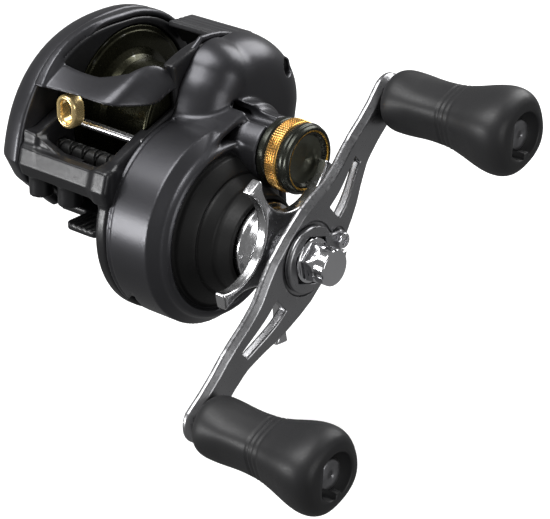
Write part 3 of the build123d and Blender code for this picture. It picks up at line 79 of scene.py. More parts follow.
def arc(start, through, end, steps=20):
    """Points on the circle through three points, from start up to just before end."""
    (ax, ay), (bx, by), (cx, cy) = start, through, end
    twice = 2 * (ax * (by - cy) + bx * (cy - ay) + cx * (ay - by))
    sa, sb, sc = ax * ax + ay * ay, bx * bx + by * by, cx * cx + cy * cy
    px = (sa * (by - cy) + sb * (cy - ay) + sc * (ay - by)) / twice
    py = (sa * (cx - bx) + sb * (ax - cx) + sc * (bx - ax)) / twice
    radius = math.hypot(ax - px, ay - py)
    first, middle, last = (math.atan2(v - py, u - px) for u, v in (start, through, end))
    sweep = (last - first) % (2 * math.pi)
    if (middle - first) % (2 * math.pi) > sweep:
        sweep -= 2 * math.pi
    turns = [first + sweep * k / steps for k in range(steps)]
    return [(px + radius * math.cos(t), py + radius * math.sin(t)) for t in turns]


def outline_distance(outline, u, v):
    """Signed distance from (u, v) to a closed outline, negative inside."""
    nearest = np.full(np.broadcast(u, v).shape, 1e9)
    inside = np.zeros(nearest.shape, bool)
    for (a, b), (c, d) in zip(outline, outline[1:] + outline[:1]):
        run, rise = c - a, d - b
        share = np.clip(((u - a) * run + (v - b) * rise) / (run * run + rise * rise + 1e-12), 0, 1)
        nearest = np.minimum(nearest, (u - a - share * run) ** 2 + (v - b - share * rise) ** 2)
        if b != d:
            inside ^= ((b > v) != (d > v)) & (u < run * (v - b) / rise + a)
    return np.where(inside, -np.sqrt(nearest), np.sqrt(nearest))


def weld(first, second, radius):
    """Two shapes in one, with a fillet of about that radius between them."""
    reach = np.maximum(radius - np.abs(first - second), 0) / radius
    return np.minimum(first, second) - reach * reach * radius / 4


def common(first, second, radius):
    """What lies in both shapes, its new edge rounded."""
    return -weld(-first, -second, radius)


def cut(body, tool, radius):
    """The body with the tool's shape taken out, the new edge rounded."""
    return -weld(-body, tool, radius)


def bevelled(first, second, size):
    """What lies in both shapes, with a flat bevel along the edge where they meet."""
    return np.maximum(np.maximum(first, second), (first + second + size) * math.sqrt(0.5))


def surface_of(field, low, high, pitch):
    """Points and four-sided faces where field(x, y, z) crosses zero; it is negative inside."""
    low = np.array(low, float)
    counts = [int(math.ceil((high[k] - low[k]) / pitch)) + 1 for k in range(3)]
    cells = tuple(n - 1 for n in counts)
    grid = np.meshgrid(*(low[k] + pitch * np.arange(counts[k]) for k in range(3)), indexing="ij", sparse=True)
    value = np.array(np.broadcast_to(field(*grid), counts), float)
    inside = value < 0
    total, hits = np.zeros(cells + (3,)), np.zeros(cells)
    for axis in range(3):
        u, v = (axis + 1) % 3, (axis + 2) % 3
        before = value.take(range(counts[axis] - 1), axis)
        after = value.take(range(1, counts[axis]), axis)
        crossed = (before < 0) != (after < 0)
        share = np.where(crossed, before / np.where(crossed, before - after, 1), 0)
        for du in (0, 1):
            for dv in (0, 1):
                window = [slice(None)] * 3
                window[u], window[v] = slice(du, du + cells[u]), slice(dv, dv + cells[v])
                hit = crossed[tuple(window)]
                hits += hit
                total[..., axis] += share[tuple(window)]
                total[..., u] += hit * du
                total[..., v] += hit * dv
    used = hits > 0
    number = np.cumsum(used.ravel()).reshape(cells) - 1
    points = (np.argwhere(used) + total[used] / hits[used][:, None]) * pitch + low
    quads = []
    for axis in range(3):
        u, v = (axis + 1) % 3, (axis + 2) % 3
        before = inside.take(range(counts[axis] - 1), axis)
        at = np.argwhere(before != inside.take(range(1, counts[axis]), axis))
        at = at[(at[:, u] > 0) & (at[:, v] > 0) & (at[:, u] < cells[u]) & (at[:, v] < cells[v])]
        ring = []
        for du, dv in ((0, 0), (1, 0), (1, 1), (0, 1)):
            corner = at.copy()
            corner[:, u] -= du
            corner[:, v] -= dv
            ring.append(number[tuple(corner.T)])
        quad = np.stack(ring, 1)
        outward = before[tuple(at.T)]
        quads.append(np.where(outward[:, None], quad, quad[:, ::-1]))
    step = pitch / 8
    for _ in range(3):
        here = field(*points.T)
        slope = np.stack([
            (field(*(points + step * unit).T) - field(*(points - step * unit).T)) / (2 * step)
            for unit in np.eye(3)
        ], 1)
        move = -(here / (np.sum(slope * slope, 1) + 1e-6))[:, None] * slope
        size = np.linalg.norm(move, axis=1, keepdims=True)
        points = points + move * np.minimum(1, pitch / 3 / (size + 1e-9))
    return points, np.concatenate(quads)


def make_piece(name, points, faces, material, body, stands_for=()):
    """A finished piece from points in millimetres, riding on its body."""
    mesh = bpy.data.meshes.new(name)
    mesh.from_pydata((np.asarray(points) * MM).tolist(), [], [list(map(int, face)) for face in faces])
    mesh.polygons.foreach_set("use_smooth", [True] * len(mesh.polygons))
    mesh.materials.append(material)
    mesh.validate()
    piece = bpy.data.objects.new(name, mesh)
    bpy.context.scene.collection.objects.link(piece)
    if stands_for:
        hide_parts(*stands_for)
    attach(piece, body)
    return piece


def finish_of(name, dark, light, metallic, smooth, rough, patch=40.0, grain=900.0, depth=0.02, edge=0.0, **fixed):
    """A surface whose tone, sheen and fine relief wander, a little brighter along its edges as painted highlight and
    wear.
    """
    material = bpy.data.materials.new(name)
    material.use_nodes = True
    nodes, links = material.node_tree.nodes, material.node_tree.links
    shader = nodes["Principled BSDF"]
    shader.inputs["Metallic"].default_value = metallic
    for socket, value in fixed.items():
        shader.inputs[socket.replace("_", " ")].default_value = value
    where = nodes.new("ShaderNodeTexCoord")
    patches, fine = nodes.new("ShaderNodeTexNoise"), nodes.new("ShaderNodeTexNoise")
    for noise, scale, detail in ((patches, patch, 4.0), (fine, grain, 3.0)):
        links.new(where.outputs["Object"], noise.inputs["Vector"])
        noise.inputs["Scale"].default_value = scale
        noise.inputs["Detail"].default_value = detail
    tone = nodes.new("ShaderNodeValToRGB")
    tone.color_ramp.elements[0].position, tone.color_ramp.elements[1].position = 0.3, 0.7
    tone.color_ramp.elements[0].color, tone.color_ramp.elements[1].color = (*dark, 1), (*light, 1)
    links.new(patches.outputs["Fac"], tone.inputs["Fac"])
    # lighten pointy edges by the edge amount: a painted edge highlight together with edge wear
    edge_wear_and_highlight = nodes.new("ShaderNodeMix")
    edge_wear_and_highlight.data_type, edge_wear_and_highlight.blend_type = "RGBA", "ADD"
    edge_wear_and_highlight.inputs["B"].default_value = (edge, edge, edge, 1)
    shape, ridge = nodes.new("ShaderNodeNewGeometry"), nodes.new("ShaderNodeMapRange")
    ridge.inputs["From Min"].default_value, ridge.inputs["From Max"].default_value = 0.53, 0.62
    links.new(shape.outputs["Pointiness"], ridge.inputs["Value"])
    links.new(ridge.outputs["Result"], edge_wear_and_highlight.inputs["Factor"])
    links.new(tone.outputs["Color"], edge_wear_and_highlight.inputs["A"])
    links.new(edge_wear_and_highlight.outputs["Result"], shader.inputs["Base Color"])
    sheen = nodes.new("ShaderNodeMapRange")
    sheen.inputs["From Min"].default_value, sheen.inputs["From Max"].default_value = 0.3, 0.7
    sheen.inputs["To Min"].default_value, sheen.inputs["To Max"].default_value = smooth, rough
    links.new(fine.outputs["Fac"], sheen.inputs["Value"])
    links.new(sheen.outputs["Result"], shader.inputs["Roughness"])
    relief = nodes.new("ShaderNodeBump")
    relief.inputs["Strength"].default_value = 0.5
    relief.inputs["Distance"].default_value = depth * MM
    links.new(fine.outputs["Fac"], relief.inputs["Height"])
    links.new(relief.outputs["Normal"], shader.inputs["Normal"])
    return material


frame_black = finish_of("frame_black", (0.010, 0.010, 0.011), (0.016, 0.016, 0.018), 0.2, 0.30, 0.40,
                        edge=0.01, Coat_Weight=0.1, Coat_Roughness=0.25)

half_body = box_mm("hood")[1][0]          # X of both side faces of the body
ring_width = 4.0
hood_wall = 2.2
nose_reach = 41.3
nose_y, nose_z = spool_y - nose_reach, 19.0
crown_z = spool_z + 27.0
back_reach = 29.2
brow_bulge = 3.6
drum_radius = 28.0
flange_bore = 22.85
beam_low, beam_high = 15.5, 23.6


def side_outline(bulge):
    """Side outline of the body: brow arc from nose to crown, round back, heel and sole."""
    drop = crown_z - nose_z
    radius = (nose_reach ** 2 + drop ** 2) / (2 * drop)
    centre_z = crown_z - radius
    nose_angle = math.atan2(nose_z - centre_z, -nose_reach) % (2 * math.pi)
    steps = np.linspace(0, 1, 22)
    turn = nose_angle + (math.pi / 2 - nose_angle) * steps
    reach = radius + bulge * np.sin(math.pi * steps) ** 1.5
    brow = list(zip(spool_y + reach * np.cos(turn), centre_z + reach * np.sin(turn)))
    turn = np.linspace(math.pi / 2, 0, 15)
    back = list(zip(spool_y + back_reach * np.cos(turn), spool_z + (crown_z - spool_z) * np.sin(turn)))
    points = [(float(y), float(z)) for y, z in brow + back[1:]]
    rear = points[-1]
    return points + [(rear[0] - 6, 7.0), (spool_y + 12, 0.0), (-24.0, 1.5), (nose_y + 3.5, 12.0)]


def ring_outline():
    """Side outline of the gear-side ring: strut below the window, shoulder, back and sole."""
    reach = back_reach - hood_wall
    crown, rear = (spool_y, crown_z - hood_wall), (spool_y + reach, spool_z)
    slant = reach * math.sqrt(0.5)
    shoulder = (-10.0, crown_z - 5.6)
    points = [(nose_y + 1.5, beam_high + 0.4), (-22.0, 30.0), (-9.0, 34.8)]
    points += arc(shoulder, ((shoulder[0] + crown[0]) / 2, crown[1] - 1.0), crown)
    points += arc(crown, (spool_y + slant, spool_z + slant - 0.6), rear)
    return points + [rear, (rear[0] - 6, 7.0), (spool_y + 12, 0.0), (-24.0, 0.0), (nose_y + 1, beam_low),
                     (nose_y, nose_z)]


palm_line, gear_line = side_outline(brow_bulge), ring_outline()
beam_line = [(nose_y + 1.2, beam_low), (nose_y, nose_z), (nose_y + 1.5, beam_high), (nose_y + 4.2, beam_high),
             (nose_y + 4.2, beam_low)]
bar_line = [(spool_y + 23.6, 12.0), (spool_y + 26.6, 15.0), (spool_y + 28.0, 30.0), (spool_y + 24.6, 30.0),
            (spool_y + 24.6, spool_z), (spool_y + 22.3, 13.0)]
foot_length, foot_width, foot_thickness, foot_corner = 62.0, 12.5, 2.3, 2.5
window_line = [(nose_y - 5, 26.6), (nose_y + 6, 27.4), (-23.0, 31.0), (-20.5, 36.0), (-22.0, 41.6), (nose_y - 5, 41.6)]
floor_half = 22.0
ridge_pitch = 2.0


def frame_field(x, y, z):
    about_spool = np.hypot(y - spool_y, z - spool_z)
    about_shaft = np.hypot(y - shaft_y, z - shaft_z)
    middle = half_body - ring_width / 2
    palm = common(outline_distance(palm_line, y, z) + hood_wall, np.abs(x + middle) - ring_width / 2, 0.8)
    gear_side = np.minimum(outline_distance(gear_line, y, z), about_shaft - drum_radius)
    gear = common(gear_side, np.abs(x - middle) - ring_width / 2, 1.2)
    beam = common(outline_distance(beam_line, y, z), np.abs(x) - half_body, 1.2)
    sill_top = 27.4 - 4.2 * np.clip((x + 17) / 14, 0, 1) ** 1.5
    sill = np.maximum(np.maximum(np.abs(y - nose_y - 5.4) - 1.7, z - sill_top + 0.35 * (y - nose_y - 4)), 17 - z)
    sill = np.maximum(sill, np.abs(x) - half_body)
    bar = common(outline_distance(bar_line, y, z), np.abs(x) - half_body, 0.8)
    foot_x = np.maximum(np.abs(x) - foot_width / 2 + foot_corner, 0)
    foot = np.hypot(foot_x, np.maximum(np.abs(y) - foot_length / 2 + foot_corner, 0)) - foot_corner
    ridge = 0.35 * np.clip(np.abs(np.mod(x, ridge_pitch) - ridge_pitch / 2) * 2 - 0.6, 0, 1)
    foot = common(foot, np.abs(z - foot_thickness / 2) - foot_thickness / 2 + ridge * (z > 1), 0.5)
    floor = np.maximum(np.maximum(np.abs(x) - half_body, np.abs(y) - floor_half), np.abs(z - 1.15) - 1.15)
    palm = cut(palm, np.maximum(outline_distance(window_line, y, z), x), 0.8)
    body = weld(weld(palm, weld(beam, sill, 1.5), 2.5), gear, 3.0)
    body = weld(body, weld(bar, floor, 1.0), 1.0)
    for boss_x in (-12.6, -1.5):
        boss = np.maximum(np.hypot(x - boss_x, y - nose_y - 5.2) - 3.4, np.abs(z - 13) - 3.6)
        body = weld(body, boss, 1.0)
    body = weld(body, foot, 0.8)
    body = cut(body, np.maximum(about_spool - flange_bore, x - 14.6), 0.5)
    body = np.maximum(body, 5.4 - about_spool)
    body = np.maximum(body, 2.8 - np.hypot(y - worm_y, z - worm_z))
    swing = np.arctan2(z - spool_z, y - spool_y)
    slot_way = np.maximum(np.abs(about_spool - 24.85) - 1.5, (np.abs(swing - 0.79) - 0.135) * 24.85)
    return np.maximum(body, -np.maximum(slot_way, 12 - x))


points, faces = surface_of(frame_field, (-17.4, -39.4, shaft_z - drum_radius - 1), (17.4, 35.2, crown_z + 1), 0.54)
make_piece("frame_casting", points, faces, frame_black, "reel_body", ("main_frame",))


# ------------------------------------------------------------------ hood
# The moulded hood covers the nose and both rings, open above the spool for the thumb.
# It is painted in a satin charcoal with a fine metallic flake.
cover_charcoal = finish_of("cover_charcoal", (0.048, 0.048, 0.053), (0.060, 0.060, 0.066), 0.75, 0.32, 0.42,
                           grain=2600.0, depth=0.012, edge=0.02, Coat_Weight=0.15, Coat_Roughness=0.2)
lip_line = [(nose_y - 5, 41.6), (spool_y, 35.1), (spool_y + 34, 34.0), (spool_y + 34, crown_z + 5),
            (nose_y - 5, crown_z + 5)]
opening_line = [(-12.4, -21.6), (0.0, -21.0), (8.2, -18.4), (14.5, -8.5), (14.5, 40.0), (-12.4, 40.0)]


def hood_field(x, y, z):
    # the side towards the gears is drawn back to meet the cover's seam
    drawn_back = 2.2 * np.clip(x / 12, 0, 2) ** 2 + 6.5 * np.clip((x - 8) / 8.4, 0, 1) ** 2.2
    side = outline_distance(palm_line, y, z) + drawn_back * np.clip((-y + 2) / 10, 0, 1)
    # a hollow across the bridge in front of the spool, rising to the arch on the palm side
    rise = np.clip((-12.0 - x) / 3.2, 0, 1)
    saddle = 40.0 + 0.43 * (y + 30) + 0.012 * (x + 2) ** 2 + 13 * rise * rise * (3 - 2 * rise)
    top = (z - saddle) * 0.88 - 40 * np.clip((y + 12) / 10, 0, 1) * np.clip((13 - np.abs(x)) / 2, 0, 1)
    body = common(side, top, 3.5)
    skin = common(body, -(body + hood_wall), 0.4)
    skin = common(skin, np.abs(x) - half_body, 1.4)
    skin = common(skin, outline_distance(lip_line, y, z) + 0.2 * np.clip(x / 10, -1, 0), 0.9)
    return cut(skin, outline_distance(opening_line, x, y), 1.8)


points, faces = surface_of(hood_field, (-17.2, -39.4, 32.0), (17.2, 35.2, crown_z + 2.6), 0.44)
make_piece("hood_shell", points, faces, cover_charcoal, "reel_body", ("hood",))


# ------------------------------------------------------------------ palm side plate
# A cast cover closes the side away from the handle. It is drawn in to a flat face that holds
# the brake dial, and it comes off with the slotted lock in front of it.
palm_low, palm_high = box_mm("palm_side_plate")
plate_line = side_outline(brow_bulge / 2)
lock_y, lock_z = axis_of["lock_turn"][1:]


def crowned(side, rise, depth, draw):
    """A plate of that depth above its seam whose rim is drawn in by draw over its outer part."""
    along = np.clip(rise / depth, 0, 1.2)
    return side + draw * (1 - np.sqrt(np.clip(1 - along ** 2.4, 0, 1)))


def palm_field(x, y, z):
    rise = palm_high[0] - x
    depth = palm_high[0] - palm_low[0]
    side = crowned(outline_distance(plate_line, y, z), rise, depth * 1.02, 9.0)
    plate = common(side, np.abs(x - (palm_low[0] + palm_high[0]) / 2) - depth / 2, 1.2)
    about_spool = np.hypot(y - spool_y, z - spool_z)
    groove = np.hypot(about_spool - 15.0, np.maximum(x - palm_low[0], 0)) - 0.5
    plate = cut(plate, groove, 0.3)
    plate = cut(plate, np.maximum(about_spool - 9.3, x - palm_low[0] - 2.4), 0.4)
    lock = np.hypot(y - lock_y, z - lock_z)
    plate = cut(plate, np.maximum(lock - 4.5, x - palm_low[0] - 4.0), 0.5)
    plate = np.maximum(plate, 1.6 - lock)
    hollow = np.maximum(np.maximum(about_spool - 20.5, palm_high[0] - 3.6 - x), 6.0 - about_spool)
    hollow = np.minimum(hollow, np.maximum(about_spool - 4.0, palm_high[0] - 5.2 - x))
    return np.maximum(plate, -hollow)


points, faces = surface_of(palm_field, palm_low - 0.8, (palm_high[0] + 0.8, spool_y + 31, crown_z + 2), 0.48)
make_piece("palm_cover", points, faces, cover_charcoal, "reel_body", ("palm_side_plate",))


# ------------------------------------------------------------------ gear side cover
# The cover over the gears: a round housing for the drive gear, the body beside the spool and
# the neck of the cast-control knob, cast in one and painted like the hood.
cover_low, cover_high = box_mm("gear_side_cover")
seam_x = cover_low[0]
cover_end = seam_x + 12.5
neck_end = 41.8
housing = [(seam_x - 3, 0.0), (seam_x - 3, drum_radius), (31.2, drum_radius), (34.0, 25.4), (34.7, 25.2),
           (35.7, 24.6), (36.2, 23.6), (35.8, 22.8), (34.8, 22.3), (34.2, 21.6), (34.2, 0.0)]
crest = [(0.0, seam_x - 3), (0.0, seam_x + 1), (0.9, seam_x + 5.6), (3.4, seam_x + 10.0),
         (8.0, cover_end), (14.0, cover_end + 0.3), (60.0, cover_end + 0.3), (60.0, seam_x - 3)]
cover_reach = 30.6


def cover_side():
    """Side outline of the cover's upper body."""
    seam = [(-12.2, 26.0), (-10.2, 34.0), (-7.2, crown_z - 10.6), (-3.6, crown_z - 6.8)]
    brow, crown = (spool_y - 4.0, crown_z - 3.4), (spool_y + 6.0, crown_z - 2.2)
    rear = (spool_y + cover_reach, spool_z + 2)
    shoulder = (spool_y + cover_reach * math.cos(0.8), spool_z + (cover_reach - 1) * math.sin(0.8))
    points = seam[:3] + arc(seam[3], brow, crown, 8) + arc(crown, shoulder, rear)
    return points + [rear, (rear[0] - 2, spool_z - 8), (rear[0] - 9, shaft_z), (shaft_y + 16, shaft_z - 10),
                     (shaft_y, shaft_z)]


neck_gap = math.hypot(spool_y - shaft_y, spool_z - shaft_z)
neck_way = ((spool_y - shaft_y) / neck_gap, (spool_z - shaft_z) / neck_gap)
neck_end_radius = 9.4
rim_radius, web_radius, web_neck_radius, web_end = 24.6, 27.0, 11.2, 34.4
screw_places = [(spool_y - 2.1, spool_z + 9.4)]
for turn in (math.radians(33), math.radians(-30)):
    screw_places.append((spool_y + 25.6 * math.cos(turn), spool_z + 25.6 * math.sin(turn)))


def flowing(points, passes=3):
    """A closed outline turned into a smooth curve by cutting its corners over and over."""
    line = np.array(points, float)
    for _ in range(passes):
        after = np.roll(line, -1, axis=0)
        line = np.stack([0.75 * line + 0.25 * after, 0.25 * line + 0.75 * after], 1).reshape(-1, 2)
    return [tuple(point) for point in line]


def rounded(points, size):
    """The same closed outline with each corner rounded off by about that size."""
    made = []
    for before, here, after in zip(points[-1:] + points[:-1], points, points[1:] + points[:1]):
        a, b, c = (np.array(p, float) for p in (before, here, after))
        into, out = np.linalg.norm(a - b), np.linalg.norm(c - b)
        start = b + (a - b) / (into + 1e-9) * min(size, into * 0.45)
        end = b + (c - b) / (out + 1e-9) * min(size, out * 0.45)
        made += [tuple((1 - t) ** 2 * start + 2 * t * (1 - t) * b + t * t * end) for t in (0.0, 0.33, 0.67, 1.0)]
    return made


cover_line = flowing(cover_side())
crest_line = flowing(crest)


def cover_field(x, y, z):
    about_spool = np.hypot(y - spool_y, z - spool_z)
    about_shaft = np.hypot(y - shaft_y, z - shaft_z)
    drum = outline_distance(housing, x, about_shaft)
    upper = outline_distance(crest_line, -outline_distance(cover_line, y, z), x)
    neck = np.maximum(about_spool - neck_end_radius - 0.06 * (neck_end - x), x - neck_end)
    # the web from the housing's rim up to the neck, with a pocket sunk in it
    along = (y - shaft_y) * neck_way[0] + (z - shaft_z) * neck_way[1]
    across = np.abs((y - shaft_y) * neck_way[1] - (z - shaft_z) * neck_way[0])
    lean = (web_radius - web_neck_radius) / neck_gap
    flat = math.sqrt(1 - lean * lean)
    on = along * flat - across * lean
    web = across * flat + along * lean - rim_radius - (web_radius - rim_radius) * np.clip(on / 8, 0, 1)
    web = np.where(on < 0, about_shaft - rim_radius, web)
    web = np.where(on > neck_gap * flat, about_spool - web_neck_radius, web)
    pocket = np.maximum(np.maximum(web + 2.0, rim_radius + 0.4 - about_shaft), neck_end_radius + 0.4 - about_spool)
    web = common(web, x - web_end, 1.0)
    solid = weld(weld(drum, upper, 2.0), web, 1.2)
    solid = weld(solid, neck, 2.2)
    mouth = np.maximum(about_shaft - 21.6, 33.0 - x)
    mouth = np.maximum(mouth, neck_end_radius + 1.2 - about_spool)
    outer = cut(solid, np.maximum(pocket, web_end - 3.6 - x), 0.9)
    outer = cut(outer, mouth, 0.3)
    # a fine groove along the housing's seam and a small notch under it
    outer = np.maximum(outer, 0.3 - np.hypot(about_shaft - drum_radius - 0.05, x - seam_x - 1.4))
    run = (np.arctan2(z - shaft_z, y - shaft_y) % (2 * math.pi) - math.radians(210)) * drum_radius
    notch = np.maximum(np.abs(x - 22.2 + 0.47 * run) - 0.3 * run, drum_radius - 0.2 * run - about_shaft)
    outer = cut(outer, np.maximum(np.maximum(notch, -run), run - 14), 0.3)
    outer = common(outer, seam_x - x, 0.3)
    hollow = solid + 2.3
    hollow = np.maximum(hollow, -np.maximum(about_spool - 7.6, x - 40))
    body = np.maximum(outer, -hollow)
    for screw_y, screw_z in screw_places:
        away = np.hypot(y - screw_y, z - screw_z)
        body = weld(body, np.maximum(np.maximum(away - 2.9, x - 26), seam_x - x), 0.3)
        body = cut(body, np.maximum(away - 2.3, 23.5 - x), 0.25)
    body = np.maximum(body, -np.maximum(about_spool - 4.1, x - 48))
    return np.maximum(body, -np.maximum(about_shaft - 8.2, 20 - x))


points, faces = surface_of(cover_field, (seam_x - 0.9, -39.0, -24.6), (44.0, 35.4, crown_z), 0.5)
make_piece("gear_cover_shell", points, faces, cover_charcoal, "reel_body", ("gear_side_cover",))


# ------------------------------------------------------------------ turret
# The stepped black turret rises from the housing's rim to the mouth round the star's hub.
# It is turned in one with the cover and left in a matt black.
turret_black = finish_of("turret_black", (0.006, 0.006, 0.006), (0.010, 0.010, 0.010), 0.0, 0.40, 0.52,
                         grain=1800.0, depth=0.015, edge=0.0, Specular_IOR_Level=0.22)
turret_end = cover_high[0]


def turned(points, centre_y, centre_z, steps=128):
    """A closed ring turned about an axis along X from its outline of (x, radius) points."""
    outline = np.array(points, float)
    angles = np.arange(steps) * 2 * math.pi / steps
    x = np.repeat(outline[:, :1], steps, 1)
    y = centre_y + outline[:, 1:] * np.cos(angles)
    z = centre_z + outline[:, 1:] * np.sin(angles)
    places = np.stack([x, y, z], 2).reshape(-1, 3)
    count = len(outline)
    rings = []
    for i in range(count):
        low, high = i * steps, (i + 1) % count * steps
        for k in range(steps):
            right = (k + 1) % steps
            rings.append((low + k, low + right, high + right, high + k))
    ring_area = np.sum(outline[:, 0] * np.roll(outline[:, 1], -1) - np.roll(outline[:, 0], -1) * outline[:, 1])
    if ring_area > 0:
        rings = [face[::-1] for face in rings]
    return places, rings


turret_line = [(33.4, 22.2), (34.6, 22.2), (35.4, 21.3), (36.4, 20.9), (38.6, 18.6), (39.5, 17.6), (39.2, 17.0),
               (40.2, 16.7), (42.9, 15.2), (43.3, 14.6), (44.2, 14.2), (turret_end - 0.3, 13.2), (turret_end, 12.8),
               (turret_end, 12.05), (40.8, 12.05), (40.8, 10.0), (39.2, 10.0), (39.2, 13.0), (35.0, 17.0), (33.4, 20.0)]
points, faces = turned(rounded(turret_line, 0.3), shaft_y, shaft_z)
make_piece("turret", points, faces, turret_black, "reel_body", ("gear_side_cover",))


# ------------------------------------------------------------------ plain turned and cast internals
# Shafts, bearings, washers and gears keep their machined shapes; each metal or plastic has its
# own surface.
steel = finish_of("turned_steel", (0.42, 0.42, 0.43), (0.56, 0.56, 0.57), 1.0, 0.20, 0.34, grain=1500.0, depth=0.01)
plastic_grey = finish_of("moulded_grey", (0.20, 0.20, 0.20), (0.26, 0.26, 0.26), 0.0, 0.45, 0.6, grain=1500.0)
brass = finish_of("cut_brass", (0.62, 0.44, 0.17), (0.74, 0.55, 0.25), 1.0, 0.25, 0.38, grain=1500.0, depth=0.01)
carbon = finish_of("drag_fibre", (0.02, 0.02, 0.02), (0.05, 0.05, 0.05), 0.0, 0.5, 0.7, grain=1500.0)
# dark steel: the cover screws' blackened finish, and painted shade on the worm shaft inside the window
dark_steel = finish_of("blackened_steel_and_painted_shade", (0.02, 0.02, 0.02), (0.035, 0.035, 0.035), 0.7, 0.35, 0.5, grain=1500.0)

surface_by_slot = {"steel": steel, "plastic_grey": plastic_grey, "brass": brass, "carbon": carbon,
                   "frame_black": frame_black, "bright_metal": steel, "handle_silver": steel,
                   "cover_charcoal": cover_charcoal, "guide_black": frame_black, "guide_gold": brass,
                   "gold_anodised": brass, "spool_olive": carbon, "knob_rubber": carbon}
for part in frame["record"]["subparts"]:
    part_mesh = frame["nodes"][part["node"]].data
    part_mesh.materials.clear()
    part_mesh.materials.append(surface_by_slot[part["material_slot"]])
screw_mesh = frame["nodes"]["gear_cover_screws"].data
screw_mesh.materials.clear()
screw_mesh.materials.append(dark_steel)


# ------------------------------------------------------------------ spool
# Forged aluminium in dark olive anodising. The thin flanges have turned rims, made bright by a strong painted edge
# highlight and wear, and the arbor between them is a smooth drum.
spool_olive = finish_of("olive_anodising", (0.030, 0.030, 0.018), (0.045, 0.044, 0.026), 0.85, 0.22, 0.34,
                        grain=1300.0, depth=0.008, edge=0.12)
spool_low, spool_high = box_mm("spool")
rim = 22.5
arbor = 13.5
inner = 12.5
half_spool = [(4.0, 2.02), (4.0, 4.2), (-7.4, 4.2), (-7.4, 12.2), (spool_high[0] - 0.1, 12.2),
              (spool_high[0], 12.4), (spool_high[0], 20.8), (spool_high[0] - 0.2, 21.4),
              (spool_high[0] - 0.2, 22.2), (spool_high[0] - 0.5, rim), (inner + 0.2, rim), (inner, 22.2),
              (inner, 21.2), (inner - 0.35, 20.8), (inner - 0.6, 16.4), (inner - 1.6, 14.4), (inner - 3.4, arbor),
              (-inner + 3.4, arbor), (-inner + 1.6, 14.4), (-inner + 0.6, 16.4), (-inner + 0.35, 20.8),
              (-inner, 21.2), (-inner, 22.2), (-inner - 0.2, rim), (spool_low[0] + 0.5, rim),
              (spool_low[0] + 0.2, 22.2), (spool_low[0] + 0.2, 21.4), (spool_low[0], 20.8), (spool_low[0], 12.2),
              (-9.0, 12.2), (-9.0, 4.2), (spool_low[0], 4.2), (spool_low[0], 2.02)]
points, faces = turned(rounded(half_spool, 0.25), spool_y, spool_z, 160)
make_piece("spool_turned", points, faces, spool_olive, "spool_group", ("spool",))


# ------------------------------------------------------------------ cast-control knob
# The knob screws on the cover's neck: an olive-black cap with a gold anodised grip band, cut in
# a fine diamond knurl, and a thin gold ring round its dished face.
knob_black = finish_of("olive_black", (0.030, 0.032, 0.026), (0.045, 0.047, 0.038), 0.75, 0.22, 0.32, grain=1500.0,
                       depth=0.008, edge=0.05)
gold = finish_of("gold_anodising", (0.60, 0.32, 0.045), (0.78, 0.45, 0.08), 1.0, 0.22, 0.36, grain=1500.0,
                 depth=0.01, edge=0.1)
dish_olive = finish_of("olive_face", (0.085, 0.088, 0.066), (0.115, 0.118, 0.09), 0.7, 0.28, 0.4, grain=1800.0,
                       depth=0.008)
cap_low, cap_high = box_mm("tension_knob")
cap_start, cap_end = cap_low[0], cap_high[0]
band_start, band_end = cap_start + 3.2, cap_start + 7.0
cap_line = [(cap_start, 7.5), (cap_start, 9.0), (cap_start + 0.7, 9.7), (cap_start + 2.4, 9.7), (cap_start + 2.8, 9.2),
            (band_start, 9.2), (band_start, 9.3), (band_end, 9.3), (band_end, 9.5), (cap_end - 2.6, 9.9),
            (cap_end - 1.8, 9.9), (cap_end - 1.5, 9.5), (cap_end - 0.7, 9.5), (cap_end, 8.9), (cap_end, 8.4),
            (cap_end - 0.5, 8.2), (cap_end - 0.5, 7.4), (cap_end - 1.8, 6.4), (cap_end - 1.8, 0.05),
            (cap_end - 4.4, 0.05), (cap_end - 4.4, 7.5)]
points, faces = turned(rounded(cap_line, 0.25), spool_y, spool_z)
make_piece("cast_control_cap", points, faces, knob_black, "cast_control", ("tension_knob",))
face_line = [(cap_end - 0.75, 7.9), (cap_end - 1.5, 6.6), (cap_end - 1.7, 0.05), (cap_end - 2.0, 0.05),
             (cap_end - 2.0, 7.9)]
points, faces = turned(face_line, spool_y, spool_z)
make_piece("cast_control_face", points, faces, dish_olive, "cast_control", ("tension_knob",))
ring_line = [(cap_end - 0.2, 8.5), (cap_end - 0.2, 7.9), (cap_end - 0.9, 7.7), (cap_end - 0.9, 8.5)]
points, faces = turned(rounded(ring_line, 0.2), spool_y, spool_z)
make_piece("cast_control_ring", points, faces, gold, "cast_control", ("tension_knob",))
band_line = [(band_start, 9.2), (band_start, 9.6), (band_start + 0.3, 9.8), (band_end - 0.3, 9.8), (band_end, 9.6),
             (band_end, 9.2)]
points, faces = turned(band_line, spool_y, spool_z)
make_piece("cast_control_band", points, faces, gold, "cast_control", ("tension_knob",))


